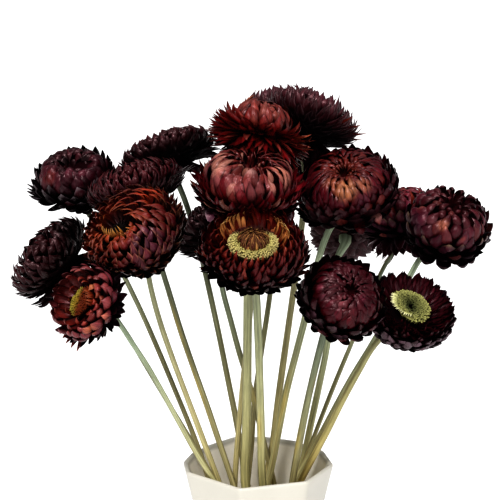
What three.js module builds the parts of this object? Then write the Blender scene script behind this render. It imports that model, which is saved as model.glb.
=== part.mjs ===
// A bouquet of dried strawflower heads on their own stems, standing in a faceted ceramic vase.
// Millimetres, +Z up. The origin is the middle of the vase's foot, which stands on z = 0.
import * as THREE from 'three';

// ---------------------------------------------------------------- driving dimensions
const VASE_HEIGHT = 150;        // foot to rim
const WALL = 3.2;               // thickness of the vase wall
const FLOOR = 5.0;              // thickness of the vase floor
const LIP = 2.6;                // width of the flat of the rim
const BASE_DROP = 0.42;         // the flat under a head, below its widest ring, as a part of the head's radius
const HEAD_SEGMENTS = 18;
const STEM_SIDES = 6;
const STEM_STEP = 13.5;         // length of one step of a stem
const DISC_GAP = 0.35;          // clearance round the green centre of an open head

// Corners of the vase, as seen from above: angle in degrees and radius of the mouth.
// The front has long flat panels, the back shorter ones.
const CORNERS = [
  { a: -156, r: 38.6 }, { a: -103, r: 39.8 }, { a: -50, r: 37.6 }, { a: -7, r: 37.6 },
  { a: 24, r: 36.4 }, { a: 58, r: 35.6 }, { a: 84, r: 36.4 }, { a: 109, r: 38.0 },
  { a: 136, r: 34.6 }, { a: 161, r: 35.6 }, { a: 181, r: 37.2 },
];
const MOUTH_MEAN = 37;          // mean corner radius of the mouth, which the profile below starts from
// Outer profile of the vase along its corners: height and corner radius.
const PROFILE = [
  [0, 31.5], [3, 33.2], [12, 35.6], [26, 37.2], [42, 37.3], [58, 36.0], [75, 33.6],
  [90, 31.0], [104, 29.6], [118, 30.4], [131, 32.8], [142, 35.2], [150, 37.0],
];

// Heads and stems. c is the centre of a head's widest ring, n the way the flower faces, r its radius,
// s the radius of its stem, and path the stem's own curve, from under the head to the vase floor.
// look: 'dark' (nearly black red), 'maroon' or 'copper'. disc: the green centre shows in an open head.
const FLOWERS = [
  { id: 1, c: [-91.2, 34.4, 283.6], n: [-0.14, -0.368, 0.919], r: 19.7, s: 1.25,
    path: [[-90.0,37.6,275.6],[-89.7,38.5,273.3],[-87.6,38.5,270.2],[-82.1,37.4,263.4],[-75.9,34.6,252.6],[-67.7,30.9,238.1],[-58.3,26.3,219.6],[-49.7,21.5,200.8],[-41.5,16.3,181.9],[-33.4,10.8,163.1],[-26.2,4.7,144.3],[-20.3,-1.8,125.6],[-14.3,-8.5,107.2],[-7.9,-13.7,87.9],[-1.6,-16.9,68.1],[4.8,-19.4,48.4],[10.8,-21.0,28.6],[15.1,-19.9,5.7]] },
  { id: 2, c: [-45.6, 43.6, 296.7], n: [-0.341, 0.304, 0.89], r: 23.8, s: 1.5,
    path: [[-42.1,40.5,287.5],[-41.2,39.7,285.2],[-39.8,38.8,281.8],[-36.5,37.1,273.9],[-32.6,34.6,262.2],[-28.2,31.1,246.4],[-23.5,26.7,226.5],[-19.1,22.1,206.5],[-15.0,17.4,186.6],[-10.9,12.5,166.7],[-7.6,7.3,146.8],[-6.9,2.1,127.0],[-7.2,-3.1,107.2],[-6.7,-8.2,87.4],[-6.4,-12.5,67.8],[-6.6,-16.2,48.2],[-6.9,-20.2,28.3],[-6.0,-24.0,5.8]] },
  { id: 3, c: [-58.6, 4.6, 287.4], n: [-0.307, 0.137, 0.942], r: 24.4, s: 1.55,
    path: [[-55.3,3.1,277.4],[-54.5,2.8,274.9],[-53.1,2.6,271.7],[-50.2,2.4,264.2],[-47.8,2.1,252.3],[-43.4,1.8,236.8],[-37.9,1.2,217.5],[-31.7,0.3,198.5],[-25.3,-1.0,179.8],[-19.2,-2.9,161.1],[-13.1,-5.4,142.7],[-7.4,-8.8,123.6],[-1.6,-12.3,104.6],[3.6,-14.3,85.3],[8.0,-15.7,65.9],[11.8,-16.7,46.6],[15.2,-17.4,27.4],[17.8,-17.1,5.7]] },
  { id: 4, c: [-56.8, -41.0, 274.7], n: [-0.396, -0.644, 0.655], r: 24.3, s: 1.5,
    path: [[-52.6,-34.2,267.8],[-51.6,-32.5,266.1],[-51.4,-31.5,262.9],[-51.6,-30.2,255.0],[-49.8,-28.1,243.4],[-46.3,-25.3,228.3],[-40.8,-21.8,209.6],[-34.9,-18.5,191.2],[-28.9,-15.6,172.9],[-23.0,-13.2,154.9],[-16.8,-11.6,136.5],[-10.0,-11.1,116.7],[-3.0,-10.4,97.7],[4.5,-9.5,79.8],[10.9,-8.3,62.1],[16.5,-7.2,44.2],[21.0,-6.0,26.2],[24.3,-4.5,5.8]] },
  { id: 5, c: [-101.0, 4.0, 251.4], n: [-0.765, -0.012, 0.644], r: 24.6, s: 1.2,
    path: [[-92.8,4.1,244.5],[-90.8,4.2,242.8],[-88.0,4.3,240.9],[-81.7,4.7,236.6],[-73.7,4.6,228.1],[-64.7,4.1,215.4],[-55.0,2.9,198.7],[-45.4,1.5,182.0],[-35.7,-0.2,165.5],[-26.1,-2.2,149.1],[-16.7,-5.5,132.0],[-7.7,-7.6,114.5],[1.0,-8.9,97.4],[8.6,-10.7,80.1],[13.6,-11.7,62.3],[17.5,-11.9,44.3],[20.8,-11.4,26.1],[22.9,-10.0,5.6]] },
  { id: 6, c: [-77.3, -61.6, 247.7], n: [-0.62, -0.656, 0.43], r: 17.2, s: 1.25,
    path: [[-72.6,-56.6,244.5],[-71.0,-54.9,243.4],[-68.3,-53.4,241.1],[-63.6,-50.8,235.1],[-58.5,-47.1,225.4],[-51.8,-42.2,212.6],[-44.4,-36.3,196.2],[-37.2,-30.7,179.8],[-30.0,-25.3,163.6],[-21.8,-20.3,147.9],[-12.7,-16.3,131.5],[-1.4,-12.4,115.4],[5.8,-7.7,97.9],[11.4,-3.3,80.2],[16.1,0.4,62.5],[19.8,3.6,44.7],[22.5,6.4,26.7],[23.3,8.9,5.7]] },
  { id: 7, c: [-0.2, 6.2, 314.3], n: [0.29, 0.104, 0.951], r: 23.8, s: 1.4,
    path: [[-3.2,5.1,304.5],[-3.9,4.9,302.0],[-3.1,6.6,297.9],[-0.7,7.2,289.1],[-0.9,6.4,276.2],[-1.6,5.1,259.2],[-2.9,3.9,237.8],[-4.6,2.9,216.4],[-7.0,2.0,195.0],[-8.9,0.9,173.7],[-10.7,0.0,152.4],[-11.7,-1.6,131.2],[-11.3,-5.0,109.8],[-10.5,-10.2,88.6],[-9.2,-16.0,68.1],[-6.9,-20.7,47.7],[-4.2,-23.7,27.7],[-1.6,-24.7,5.6]] },
  { id: 8, c: [25.8, 34.0, 314.2], n: [0.366, 0.43, 0.825], r: 24.4, s: 1.6,
    path: [[21.9,29.4,305.4],[20.9,28.3,303.2],[21.2,27.4,299.7],[22.8,25.9,290.8],[22.6,24.3,277.9],[21.0,22.1,260.6],[18.4,19.4,239.1],[15.4,16.8,217.5],[12.4,14.4,195.8],[9.5,12.5,173.9],[6.8,11.0,151.8],[2.3,9.6,130.8],[-4.3,8.6,111.1],[-9.6,7.6,90.9],[-13.6,6.6,70.2],[-16.7,6.0,49.7],[-18.7,6.8,29.2],[-21.3,7.7,5.6]] },
  { id: 9, c: [-4.5, -19.2, 292.3], n: [0.059, -0.3, 0.952], r: 23.8, s: 2.3,
    path: [[-5.1,-16.1,282.5],[-5.2,-15.3,280.0],[-4.9,-14.9,276.4],[-4.0,-14.2,268.3],[-4.3,-13.2,256.5],[-4.8,-11.9,240.8],[-5.1,-10.3,221.1],[-5.3,-8.7,201.5],[-5.5,-7.2,181.9],[-5.9,-5.8,162.4],[-6.4,-4.6,142.9],[-3.7,-3.8,122.9],[-1.4,-3.2,103.0],[-0.3,-5.6,84.1],[2.3,-10.1,65.2],[4.7,-14.1,46.3],[7.0,-17.8,27.5],[10.4,-21.5,6.1]] },
  { id: 10, c: [-2.7, -64.8, 273.8], n: [0.027, -0.429, 0.903], r: 24.2, s: 1.9,
    path: [[-2.9,-60.3,264.3],[-3.0,-59.2,262.0],[-2.5,-58.0,258.7],[-1.3,-55.4,251.3],[-0.7,-51.2,240.4],[-0.1,-45.7,225.8],[0.4,-38.8,207.6],[0.9,-32.0,189.4],[1.3,-25.3,171.3],[1.6,-18.6,153.1],[3.0,-12.0,135.1],[6.4,-5.5,117.2],[9.5,0.5,99.3],[12.0,6.0,81.3],[13.7,10.7,63.2],[14.5,14.8,45.1],[14.5,18.1,26.8],[13.4,20.2,5.7]] },
  { id: 11, c: [41.9, -6.0, 288.8], n: [-0.155, -0.464, 0.872], r: 23.0, s: 1.7,
    path: [[43.5,-1.4,280.1],[43.9,-0.2,277.8],[41.9,0.6,275.3],[35.7,1.3,269.9],[30.9,1.2,259.0],[27.1,0.8,243.4],[22.9,0.4,223.7],[18.2,0.3,204.2],[13.5,0.4,184.5],[9.9,0.8,164.5],[6.3,1.5,144.3],[2.0,3.2,124.8],[-2.1,5.3,105.3],[-5.0,8.9,86.0],[-6.9,12.0,66.6],[-8.2,15.4,47.1],[-10.2,19.0,27.8],[-12.2,21.2,5.8]] },
  { id: 12, c: [89.3, -8.0, 271.5], n: [0.125, -0.494, 0.861], r: 19.9, s: 1.6,
    path: [[88.2,-3.7,264.0],[87.8,-2.4,261.8],[85.2,-1.6,259.5],[78.5,-0.6,254.2],[72.4,-0.7,243.6],[65.1,-1.0,229.0],[55.5,-1.0,210.9],[45.4,-0.6,193.0],[36.2,-0.2,174.6],[27.1,0.4,156.1],[17.7,1.2,138.0],[7.8,3.5,121.1],[-0.0,9.4,103.6],[-6.7,13.4,85.0],[-11.8,14.1,65.7],[-15.8,14.1,46.4],[-19.3,13.3,27.3],[-21.7,11.5,5.7]] },
  { id: 13, c: [68.9, 23.4, 268.0], n: [-0.235, 0.003, 0.972], r: 19.1, s: 1.15,
    path: [[70.9,23.4,259.9],[71.5,23.4,257.3],[69.9,23.2,254.4],[64.8,22.5,248.0],[59.3,21.0,237.8],[53.3,18.7,223.4],[46.0,16.1,205.3],[38.6,13.9,187.2],[31.5,12.0,168.7],[24.6,10.7,150.0],[17.1,10.5,132.1],[9.3,10.6,115.1],[1.9,7.4,97.9],[-4.4,6.2,79.5],[-11.2,8.6,61.9],[-17.7,10.1,44.1],[-22.5,9.5,26.1],[-24.2,6.5,5.7]] },
  { id: 14, c: [38.1, -50.0, 247.2], n: [0.344, -0.691, 0.635], r: 20.6, s: 1.75,
    path: [[35.0,-43.8,241.5],[34.1,-42.0,239.9],[33.2,-40.7,237.1],[31.3,-38.6,230.3],[29.1,-35.6,220.2],[26.5,-31.5,206.9],[23.5,-26.3,190.2],[20.9,-21.0,173.4],[18.5,-15.6,156.5],[16.5,-10.1,139.7],[16.3,-4.2,123.2],[15.7,3.1,107.1],[14.7,10.3,90.9],[11.8,16.2,74.7],[8.2,19.8,58.5],[4.6,22.3,42.0],[1.2,24.2,25.4],[-2.7,24.3,5.8]] },
  { id: 15, c: [72.4, -30.0, 236.2], n: [0.144, -0.525, 0.839], r: 21.1, s: 1.6,
    path: [[71.1,-25.2,228.4],[70.7,-23.8,226.3],[68.2,-22.5,224.8],[61.4,-20.2,222.3],[54.6,-18.4,214.5],[48.1,-16.6,202.0],[40.6,-14.1,186.1],[33.6,-11.2,169.8],[26.2,-7.6,153.5],[19.3,-3.5,137.2],[13.3,1.0,121.2],[8.3,5.1,104.6],[1.3,10.3,88.8],[-4.3,15.3,73.7],[-8.8,18.2,57.9],[-12.7,19.2,41.6],[-15.6,19.0,25.0],[-17.3,17.5,5.7]] },
  { id: 16, c: [-21.5, 14.0, 264.3], n: [-0.525, 0.346, 0.778], r: 20.9, s: 1.4,
    path: [[-16.7,10.8,257.2],[-15.3,9.9,255.2],[-16.0,9.4,252.2],[-18.7,8.8,245.3],[-17.2,8.3,234.6],[-13.6,7.7,220.4],[-9.0,7.0,202.7],[-3.6,6.4,185.0],[0.6,6.1,167.0],[4.9,6.1,148.8],[8.8,6.8,130.9],[11.1,7.3,113.4],[10.7,8.9,96.2],[10.0,11.2,78.7],[10.2,14.6,61.0],[10.4,18.1,43.3],[10.3,21.0,25.6],[9.5,22.9,5.7]] },
  { id: 17, c: [43.7, 46.6, 254.6], n: [0.037, 0.954, 0.298], r: 19.1, s: 1.6,
    path: [[43.4,38.6,252.1],[43.3,36.1,251.3],[42.2,34.8,249.5],[39.3,33.2,244.2],[37.5,31.1,233.7],[36.4,28.1,218.9],[34.2,24.3,200.5],[30.5,20.8,182.3],[26.6,17.8,163.8],[22.7,15.3,145.1],[17.7,14.0,127.2],[12.1,13.1,109.9],[6.9,12.2,92.3],[0.1,9.4,75.5],[-7.2,6.5,59.0],[-13.4,3.7,42.0],[-19.3,2.2,25.0],[-24.5,2.7,6.0]] },
  { id: 18, c: [11.3, 75.8, 307.6], n: [-0.172, 0.381, 0.909], r: 21.9, s: 1.4,
    path: [[12.9,72.1,298.8],[13.4,71.1,296.5],[13.7,69.8,292.7],[13.6,66.7,284.1],[12.4,62.0,271.7],[10.6,55.9,255.2],[7.8,48.2,234.6],[4.8,40.6,214.0],[1.4,32.9,193.5],[-1.7,25.2,173.0],[-3.3,17.4,152.3],[-5.6,9.8,131.8],[-8.7,2.7,111.6],[-11.1,-4.0,91.2],[-12.6,-9.9,70.7],[-13.2,-14.9,49.9],[-12.8,-19.1,29.0],[-11.3,-22.1,5.7]] },
];
const LOOK = {
  1: 'maroon', 2: 'dark', 3: 'maroon', 4: 'copper', 5: 'dark', 6: 'copper', 7: 'maroon', 8: 'dark', 9: 'copper',
  10: 'copper', 11: 'copper', 12: 'maroon', 13: 'dark', 14: 'maroon', 15: 'dark', 16: 'dark', 17: 'dark', 18: 'dark',
};
const OPEN = { 4: 0.30, 6: 0.46, 10: 0.46, 11: 0.28, 15: 0.46 };   // radius of the open centre, as a part of r
const STEM_LOOK = {
  1: 'stem_green', 2: 'stem_green', 3: 'stem_green', 4: 'stem_tan', 5: 'stem_green', 6: 'stem_tan', 7: 'stem_tan',
  8: 'stem_tan', 9: 'stem_tan', 10: 'stem_tan', 11: 'stem_tan', 12: 'stem_tan', 13: 'stem_green', 14: 'stem_green',
  15: 'stem_tan', 16: 'stem_green', 17: 'stem_green', 18: 'stem_green',
};

// ---------------------------------------------------------------- materials
const mats = {
  ceramic: new THREE.MeshStandardMaterial({ name: 'ceramic', color: 0xefe8d9, roughness: 0.35, metalness: 0 }),
  stem_green: new THREE.MeshStandardMaterial({ name: 'stem_green', color: 0x6f7a4e, roughness: 0.7, metalness: 0 }),
  stem_tan: new THREE.MeshStandardMaterial({ name: 'stem_tan', color: 0x9c9560, roughness: 0.7, metalness: 0 }),
  dark: new THREE.MeshStandardMaterial({ name: 'bract_dark', color: 0x2a0a12, roughness: 0.45, metalness: 0 }),
  maroon: new THREE.MeshStandardMaterial({ name: 'bract_maroon', color: 0x4a1018, roughness: 0.45, metalness: 0 }),
  copper: new THREE.MeshStandardMaterial({ name: 'bract_copper', color: 0x6e2416, roughness: 0.45, metalness: 0 }),
  disc: new THREE.MeshStandardMaterial({ name: 'disc', color: 0x8f9440, roughness: 0.85, metalness: 0 }),
};

const object = new THREE.Group();
const pad = (i) => String(i).padStart(2, '0');

// ---------------------------------------------------------------- the vase
// One shell: outer panels up to the rim, the flat of the rim, inner panels down to the floor.
function closedLoft(rings) {
  const n = rings[0].length;
  const pos = [];
  for (const ring of rings) for (const p of ring) pos.push(p.x, p.y, p.z);
  const idx = [];
  for (let k = 0; k + 1 < rings.length; k++) {
    for (let i = 0; i < n; i++) {
      const j = (i + 1) % n;
      const a = k * n + i, b = k * n + j, c = (k + 1) * n + j, d = (k + 1) * n + i;
      idx.push(a, b, c, a, c, d);
    }
  }
  const first = pos.length / 3;
  const mean = (ring) => ring.reduce((s, p) => s.add(p), new THREE.Vector3()).divideScalar(n);
  const m0 = mean(rings[0]), m1 = mean(rings[rings.length - 1]);
  pos.push(m0.x, m0.y, m0.z, m1.x, m1.y, m1.z);
  for (let i = 0; i < n; i++) {
    const j = (i + 1) % n;
    idx.push(first, j, i);
    idx.push(first + 1, (rings.length - 1) * n + i, (rings.length - 1) * n + j);
  }
  const g = new THREE.BufferGeometry();
  g.setAttribute('position', new THREE.Float32BufferAttribute(pos, 3));
  g.setIndex(idx);
  g.computeVertexNormals();
  return g;
}
// The uneven corners of the mouth even out towards the foot.
function cornerRing(z, r, inset) {
  const w = 0.25 + 0.75 * THREE.MathUtils.smoothstep(z, 40, VASE_HEIGHT);
  return CORNERS.map(({ a, r: rm }) => {
    const rr = r * (1 + (rm / MOUTH_MEAN - 1) * w) - inset;
    const t = THREE.MathUtils.degToRad(a);
    return new THREE.Vector3(rr * Math.cos(t), rr * Math.sin(t), z);
  });
}
const radiusAt = (z) => {
  for (let k = 0; k + 1 < PROFILE.length; k++) {
    const [z0, r0] = PROFILE[k], [z1, r1] = PROFILE[k + 1];
    if (z <= z1) return r0 + (r1 - r0) * (z - z0) / (z1 - z0);
  }
  return PROFILE[PROFILE.length - 1][1];
};
{
  const rings = PROFILE.map(([z, r]) => cornerRing(z, r, 0));
  rings.push(cornerRing(VASE_HEIGHT, PROFILE[PROFILE.length - 1][1], LIP));
  const inner = [142, 131, 118, 104, 90, 75, 58, 42, 26, 12, FLOOR];
  for (const z of inner) rings.push(cornerRing(z, radiusAt(z), z > FLOOR ? WALL : WALL + 1.6));
  const vase = new THREE.Mesh(closedLoft(rings), mats.ceramic);
  vase.name = 'vase';
  object.add(vase);
}

// ---------------------------------------------------------------- stems
// A slightly angular section swept along the stem's own curve.
function stem(path, radius) {
  const curve = new THREE.CatmullRomCurve3(path.map((p) => new THREE.Vector3(...p)), false, 'centripetal');
  const shape = new THREE.Shape();
  for (let k = 0; k < STEM_SIDES; k++) {
    const t = (k / STEM_SIDES) * 2 * Math.PI;
    const x = radius * Math.cos(t), y = radius * Math.sin(t);
    if (k === 0) shape.moveTo(x, y); else shape.lineTo(x, y);
  }
  shape.closePath();
  return new THREE.ExtrudeGeometry(shape, {
    steps: Math.round(curve.getLength() / STEM_STEP), extrudePath: curve, curveSegments: 1, bevelEnabled: false,
  });
}

// ---------------------------------------------------------------- heads
// A head is a low dome of bracts round its own axis: a flat under it where the stem meets it,
// a flaring skirt, the widest ring, and the bracts that close in over the centre.
function headProfile(r, open) {
  const p = [
    [0, -BASE_DROP], [0.17, -BASE_DROP], [0.52, -0.36], [0.90, -0.15], [1.0, 0.03],
    [0.91, 0.24],
  ];
  if (open) {
    const rim = Math.min(0.8, open + 0.16);
    p.push([rim, 0.40], [open + 0.02, 0.36], [open, 0.14], [0, 0.14]);
  } else {
    p.push([0.62, 0.39], [0.30, 0.43], [0.13, 0.36], [0, 0.33]);
  }
  return p.map(([x, y]) => new THREE.Vector2(x * r, y * r));
}
function discProfile(r, open) {
  const z0 = 0.14 * r + DISC_GAP, rd = open * r - DISC_GAP, z1 = 0.25 * r;
  return [[0, z0], [rd, z0], [rd, z0 + (z1 - z0) * 0.5], [rd * 0.72, z1], [rd * 0.3, z1 - 0.01 * r], [0, z0 + (z1 - z0) * 0.6]]
    .map(([x, y]) => new THREE.Vector2(x, y));
}
const UP = new THREE.Vector3(0, 1, 0);
for (const f of FLOWERS) {
  const at = new THREE.Group();
  at.position.set(...f.c);
  at.quaternion.setFromUnitVectors(UP, new THREE.Vector3(...f.n).normalize());
  const open = OPEN[f.id] || 0;
  const head = new THREE.Mesh(new THREE.LatheGeometry(headProfile(f.r, open), HEAD_SEGMENTS), mats[LOOK[f.id]]);
  head.name = `head_${pad(f.id)}`;
  at.add(head);
  if (open) {
    const disc = new THREE.Mesh(new THREE.LatheGeometry(discProfile(f.r, open), HEAD_SEGMENTS), mats.disc);
    disc.name = `disc_${pad(f.id)}`;
    at.add(disc);
  }
  object.add(at);
  const s = new THREE.Mesh(stem(f.path, f.s), mats[STEM_LOOK[f.id]]);
  s.name = `stem_${pad(f.id)}`;
  object.add(s);
}

export default object;
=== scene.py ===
import math

import bpy
import numpy as np
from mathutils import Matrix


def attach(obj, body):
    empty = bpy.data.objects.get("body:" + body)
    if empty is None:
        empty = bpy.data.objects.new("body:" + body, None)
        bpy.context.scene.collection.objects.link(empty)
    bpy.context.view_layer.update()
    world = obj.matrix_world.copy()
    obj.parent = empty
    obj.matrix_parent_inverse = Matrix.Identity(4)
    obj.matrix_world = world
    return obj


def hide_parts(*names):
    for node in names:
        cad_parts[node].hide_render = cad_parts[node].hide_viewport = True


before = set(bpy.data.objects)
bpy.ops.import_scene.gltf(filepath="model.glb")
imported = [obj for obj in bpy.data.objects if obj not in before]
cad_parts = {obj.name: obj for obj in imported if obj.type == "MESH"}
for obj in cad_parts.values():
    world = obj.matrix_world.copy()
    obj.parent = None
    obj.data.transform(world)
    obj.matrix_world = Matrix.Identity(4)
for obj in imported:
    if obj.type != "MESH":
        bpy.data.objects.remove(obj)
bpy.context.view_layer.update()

MM = 0.001
GOLDEN = math.radians(137.50776)


# ------------------------------------------------------------------ small helpers
def lerp_keys(keys, t):
    """keys: [(t, values...)] in rising t; gives the values at each t as an array (len(t), n)."""
    ks = np.array([k[0] for k in keys], float)
    vs = np.array([np.ravel(k[1]) for k in keys], float)
    return np.stack([np.interp(t, ks, vs[:, j]) for j in range(vs.shape[1])], 1)


def smooth(x, a, b):
    x = np.clip((x - a) / (b - a), 0, 1)
    return x * x * (3 - 2 * x)


def unit(v):
    v = np.asarray(v, float)
    return v / np.linalg.norm(v)


def mesh_object(name, verts, quads, tris=None, point=None, uvs=None, mats=(), face_mat=None, shade=True):
    """A mesh in metres from arrays: quads (n, 4), tris (m, 3), point attributes and named corner maps."""
    me = bpy.data.meshes.new(name)
    quads = np.zeros((0, 4), np.int64) if quads is None else np.asarray(quads, np.int64)
    tris = np.zeros((0, 3), np.int64) if tris is None else np.asarray(tris, np.int64)
    loops = np.concatenate([quads.ravel(), tris.ravel()]).astype(np.int32)
    starts = np.concatenate([np.arange(len(quads)) * 4, len(quads) * 4 + np.arange(len(tris)) * 3]).astype(np.int32)
    me.vertices.add(len(verts))
    me.vertices.foreach_set("co", np.asarray(verts, np.float32).ravel())
    me.loops.add(len(loops))
    me.loops.foreach_set("vertex_index", loops)
    me.polygons.add(len(starts))
    me.polygons.foreach_set("loop_start", starts)
    if face_mat is not None:
        me.polygons.foreach_set("material_index", np.asarray(face_mat, np.int32))
    me.update(calc_edges=True)
    me.validate()
    me.polygons.foreach_set("use_smooth", np.full(len(me.polygons), bool(shade)))
    for key, values in (point or {}).items():
        values = np.asarray(values, np.float32)
        if values.ndim == 2 and values.shape[1] == 4:
            a = me.attributes.new(key, "FLOAT_COLOR", "POINT")
            a.data.foreach_set("color", values.ravel())
        elif values.ndim == 2:
            a = me.attributes.new(key, "FLOAT_VECTOR", "POINT")
            a.data.foreach_set("vector", values.ravel())
        else:
            a = me.attributes.new(key, "FLOAT", "POINT")
            a.data.foreach_set("value", values.ravel())
    for key, uv in (uvs or {}).items():
        layer = me.uv_layers.new(name=key)
        layer.data.foreach_set("uv", np.asarray(uv, np.float32)[loops].ravel())
    for m in mats:
        me.materials.append(m)
    ob = bpy.data.objects.new(name, me)
    bpy.context.scene.collection.objects.link(ob)
    return ob


def frame_of(n):
    """Two unit vectors square to n."""
    n = np.asarray(n, float) / np.linalg.norm(n)
    a = np.cross(n, (0.0, 0.0, 1.0))
    if np.linalg.norm(a) < 1e-3:
        a = np.array((1.0, 0.0, 0.0))
    a /= np.linalg.norm(a)
    return n, a, np.cross(n, a)


# ------------------------------------------------------------------ materials
def new_material(name):
    m = bpy.data.materials.new(name)
    m.use_nodes = True
    nt = m.node_tree
    nt.nodes.clear()
    out = nt.nodes.new("ShaderNodeOutputMaterial")
    p = nt.nodes.new("ShaderNodeBsdfPrincipled")
    nt.links.new(p.outputs["BSDF"], out.inputs["Surface"])
    return m, nt, p


def attribute(nt, name):
    a = nt.nodes.new("ShaderNodeAttribute")
    a.attribute_type = "GEOMETRY"
    a.attribute_name = name
    return a


def scaled(nt, socket, scale):
    v = nt.nodes.new("ShaderNodeVectorMath")
    v.operation = "MULTIPLY"
    v.inputs[1].default_value = scale
    nt.links.new(socket, v.inputs[0])
    return v.outputs["Vector"]


def noise(nt, vector, scale, detail=3.0, rough=0.55):
    n = nt.nodes.new("ShaderNodeTexNoise")
    n.inputs["Scale"].default_value = scale
    n.inputs["Detail"].default_value = detail
    n.inputs["Roughness"].default_value = rough
    nt.links.new(vector, n.inputs["Vector"])
    return n.outputs["Fac"]


def ranged(nt, socket, a, b, c, d):
    r = nt.nodes.new("ShaderNodeMapRange")
    r.inputs["From Min"].default_value = a
    r.inputs["From Max"].default_value = b
    r.inputs["To Min"].default_value = c
    r.inputs["To Max"].default_value = d
    nt.links.new(socket, r.inputs["Value"])
    return r.outputs["Result"]


def times(nt, colour, factor):
    """colour multiplied by a grey factor."""
    m = nt.nodes.new("ShaderNodeVectorMath")
    m.operation = "SCALE"
    nt.links.new(colour, m.inputs[0])
    nt.links.new(factor, m.inputs["Scale"])
    return m.outputs["Vector"]


def bump(nt, height, strength, distance, normal=None):
    b = nt.nodes.new("ShaderNodeBump")
    b.inputs["Strength"].default_value = strength
    b.inputs["Distance"].default_value = distance
    nt.links.new(height, b.inputs["Height"])
    if normal is not None:
        nt.links.new(normal, b.inputs["Normal"])
    return b.outputs["Normal"]


def bract_material(name, rough, spec, vein):
    """Papery bract: fine veins along its length, blotches between them and a dry gloss."""
    m, nt, p = new_material(name)
    tint = attribute(nt, "tint")
    lay = attribute(nt, "lay")
    veins = noise(nt, scaled(nt, lay.outputs["Vector"], (2.6, 0.16, 1.0)), 1.0, 3.0, 0.6)
    fine = noise(nt, scaled(nt, lay.outputs["Vector"], (7.0, 0.5, 1.0)), 1.0, 2.0, 0.5)
    blotch = noise(nt, scaled(nt, lay.outputs["Vector"], (0.5, 0.35, 1.0)), 1.0, 2.0, 0.5)
    col = times(nt, tint.outputs["Color"], ranged(nt, veins, 0.3, 0.7, 1.0 - vein, 1.0 + vein * 0.9))
    col = times(nt, col, ranged(nt, blotch, 0.3, 0.7, 0.82, 1.18))
    nt.links.new(col, p.inputs["Base Color"])
    nt.links.new(ranged(nt, fine, 0.25, 0.75, rough - 0.07, rough + 0.12), p.inputs["Roughness"])
    nt.links.new(bump(nt, fine, 0.35, 0.00012, bump(nt, veins, 0.55, 0.0003)), p.inputs["Normal"])
    p.inputs["Specular IOR Level"].default_value = spec
    p.inputs["Specular Tint"].default_value = (1.0, 0.68, 0.70, 1.0)
    return m


def stem_material(name):
    """Dried stem: long fibres, mottling and pale ridges."""
    m, nt, p = new_material(name)
    tint = attribute(nt, "tint")
    lay = attribute(nt, "lay")
    fibre = noise(nt, scaled(nt, lay.outputs["Vector"], (2.2, 0.05, 1.0)), 1.0, 4.0, 0.6)
    mott = noise(nt, scaled(nt, lay.outputs["Vector"], (0.5, 0.09, 1.0)), 1.0, 3.0, 0.6)
    col = times(nt, tint.outputs["Color"], ranged(nt, fibre, 0.3, 0.7, 0.72, 1.3))
    col = times(nt, col, ranged(nt, mott, 0.3, 0.7, 0.8, 1.2))
    nt.links.new(col, p.inputs["Base Color"])
    nt.links.new(ranged(nt, fibre, 0.3, 0.7, 0.5, 0.72), p.inputs["Roughness"])
    nt.links.new(bump(nt, fibre, 0.6, 0.0003), p.inputs["Normal"])
    p.inputs["Specular IOR Level"].default_value = 0.35
    return m


def floret_material(name):
    m, nt, p = new_material(name)
    tint = attribute(nt, "tint")
    lay = attribute(nt, "lay")
    n = noise(nt, scaled(nt, lay.outputs["Vector"], (1.5, 1.5, 1.0)), 1.0, 3.0, 0.6)
    nt.links.new(times(nt, tint.outputs["Color"], ranged(nt, n, 0.3, 0.7, 0.75, 1.25)), p.inputs["Base Color"])
    nt.links.new(ranged(nt, n, 0.3, 0.7, 0.65, 0.85), p.inputs["Roughness"])
    nt.links.new(bump(nt, n, 0.4, 0.0002), p.inputs["Normal"])
    p.inputs["Specular IOR Level"].default_value = 0.25
    return m


def glaze_material(name):
    """Cream glaze: a soft satin coat over a faintly mottled body; the hollow is painted lighter and warmer, painted
    light inside it.
    """
    m, nt, p = new_material(name)
    tint = attribute(nt, "tint")
    tc = nt.nodes.new("ShaderNodeTexCoord")
    mott = noise(nt, tc.outputs["Object"], 55.0, 4.0, 0.55)
    speck = noise(nt, tc.outputs["Object"], 900.0, 2.0, 0.5)
    wave = noise(nt, tc.outputs["Object"], 26.0, 2.0, 0.5)
    col = times(nt, tint.outputs["Color"], ranged(nt, mott, 0.3, 0.7, 0.965, 1.03))
    col = times(nt, col, ranged(nt, speck, 0.68, 0.8, 1.0, 0.93))
    nt.links.new(col, p.inputs["Base Color"])
    nt.links.new(ranged(nt, mott, 0.3, 0.7, 0.3, 0.42), p.inputs["Roughness"])
    nt.links.new(bump(nt, speck, 0.05, 0.0001, bump(nt, wave, 0.12, 0.002)), p.inputs["Normal"])
    p.inputs["Specular IOR Level"].default_value = 0.5
    p.inputs["Coat Weight"].default_value = 0.25
    p.inputs["Coat Roughness"].default_value = 0.22
    return m


BRACT = bract_material("bract_dry", 0.30, 0.40, 0.36)
MATTE = bract_material("bract_shaded", 0.62, 0.06, 0.36)
STEM = stem_material("stem_dry")
FLORET = floret_material("floret")
GLAZE = glaze_material("glaze_cream")


# ------------------------------------------------------------------ colours (linear)
def srgb(h):
    v = np.array([int(h[k:k + 2], 16) for k in (0, 2, 4)]) / 255.0
    return np.where(v <= 0.04045, v / 12.92, ((v + 0.055) / 1.055) ** 2.4)


# ------------------------------------------------------------------ a head of bracts
RIGHT, UP, FRONT = np.array([1.0, 0, 0]), np.array([0, 0.2521, 0.9677]), np.array([0, -0.9677, 0.2521])


def clock(deg):
    """A direction round the picture: 0 right, 90 up, 180 left, 270 down."""
    return math.cos(math.radians(deg)) * RIGHT + math.sin(math.radians(deg)) * UP


def window(t, lo, hi, soft=0.06):
    return smooth(t, lo - soft, lo + soft) * (1 - smooth(t, hi - soft, hi + soft))


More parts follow.
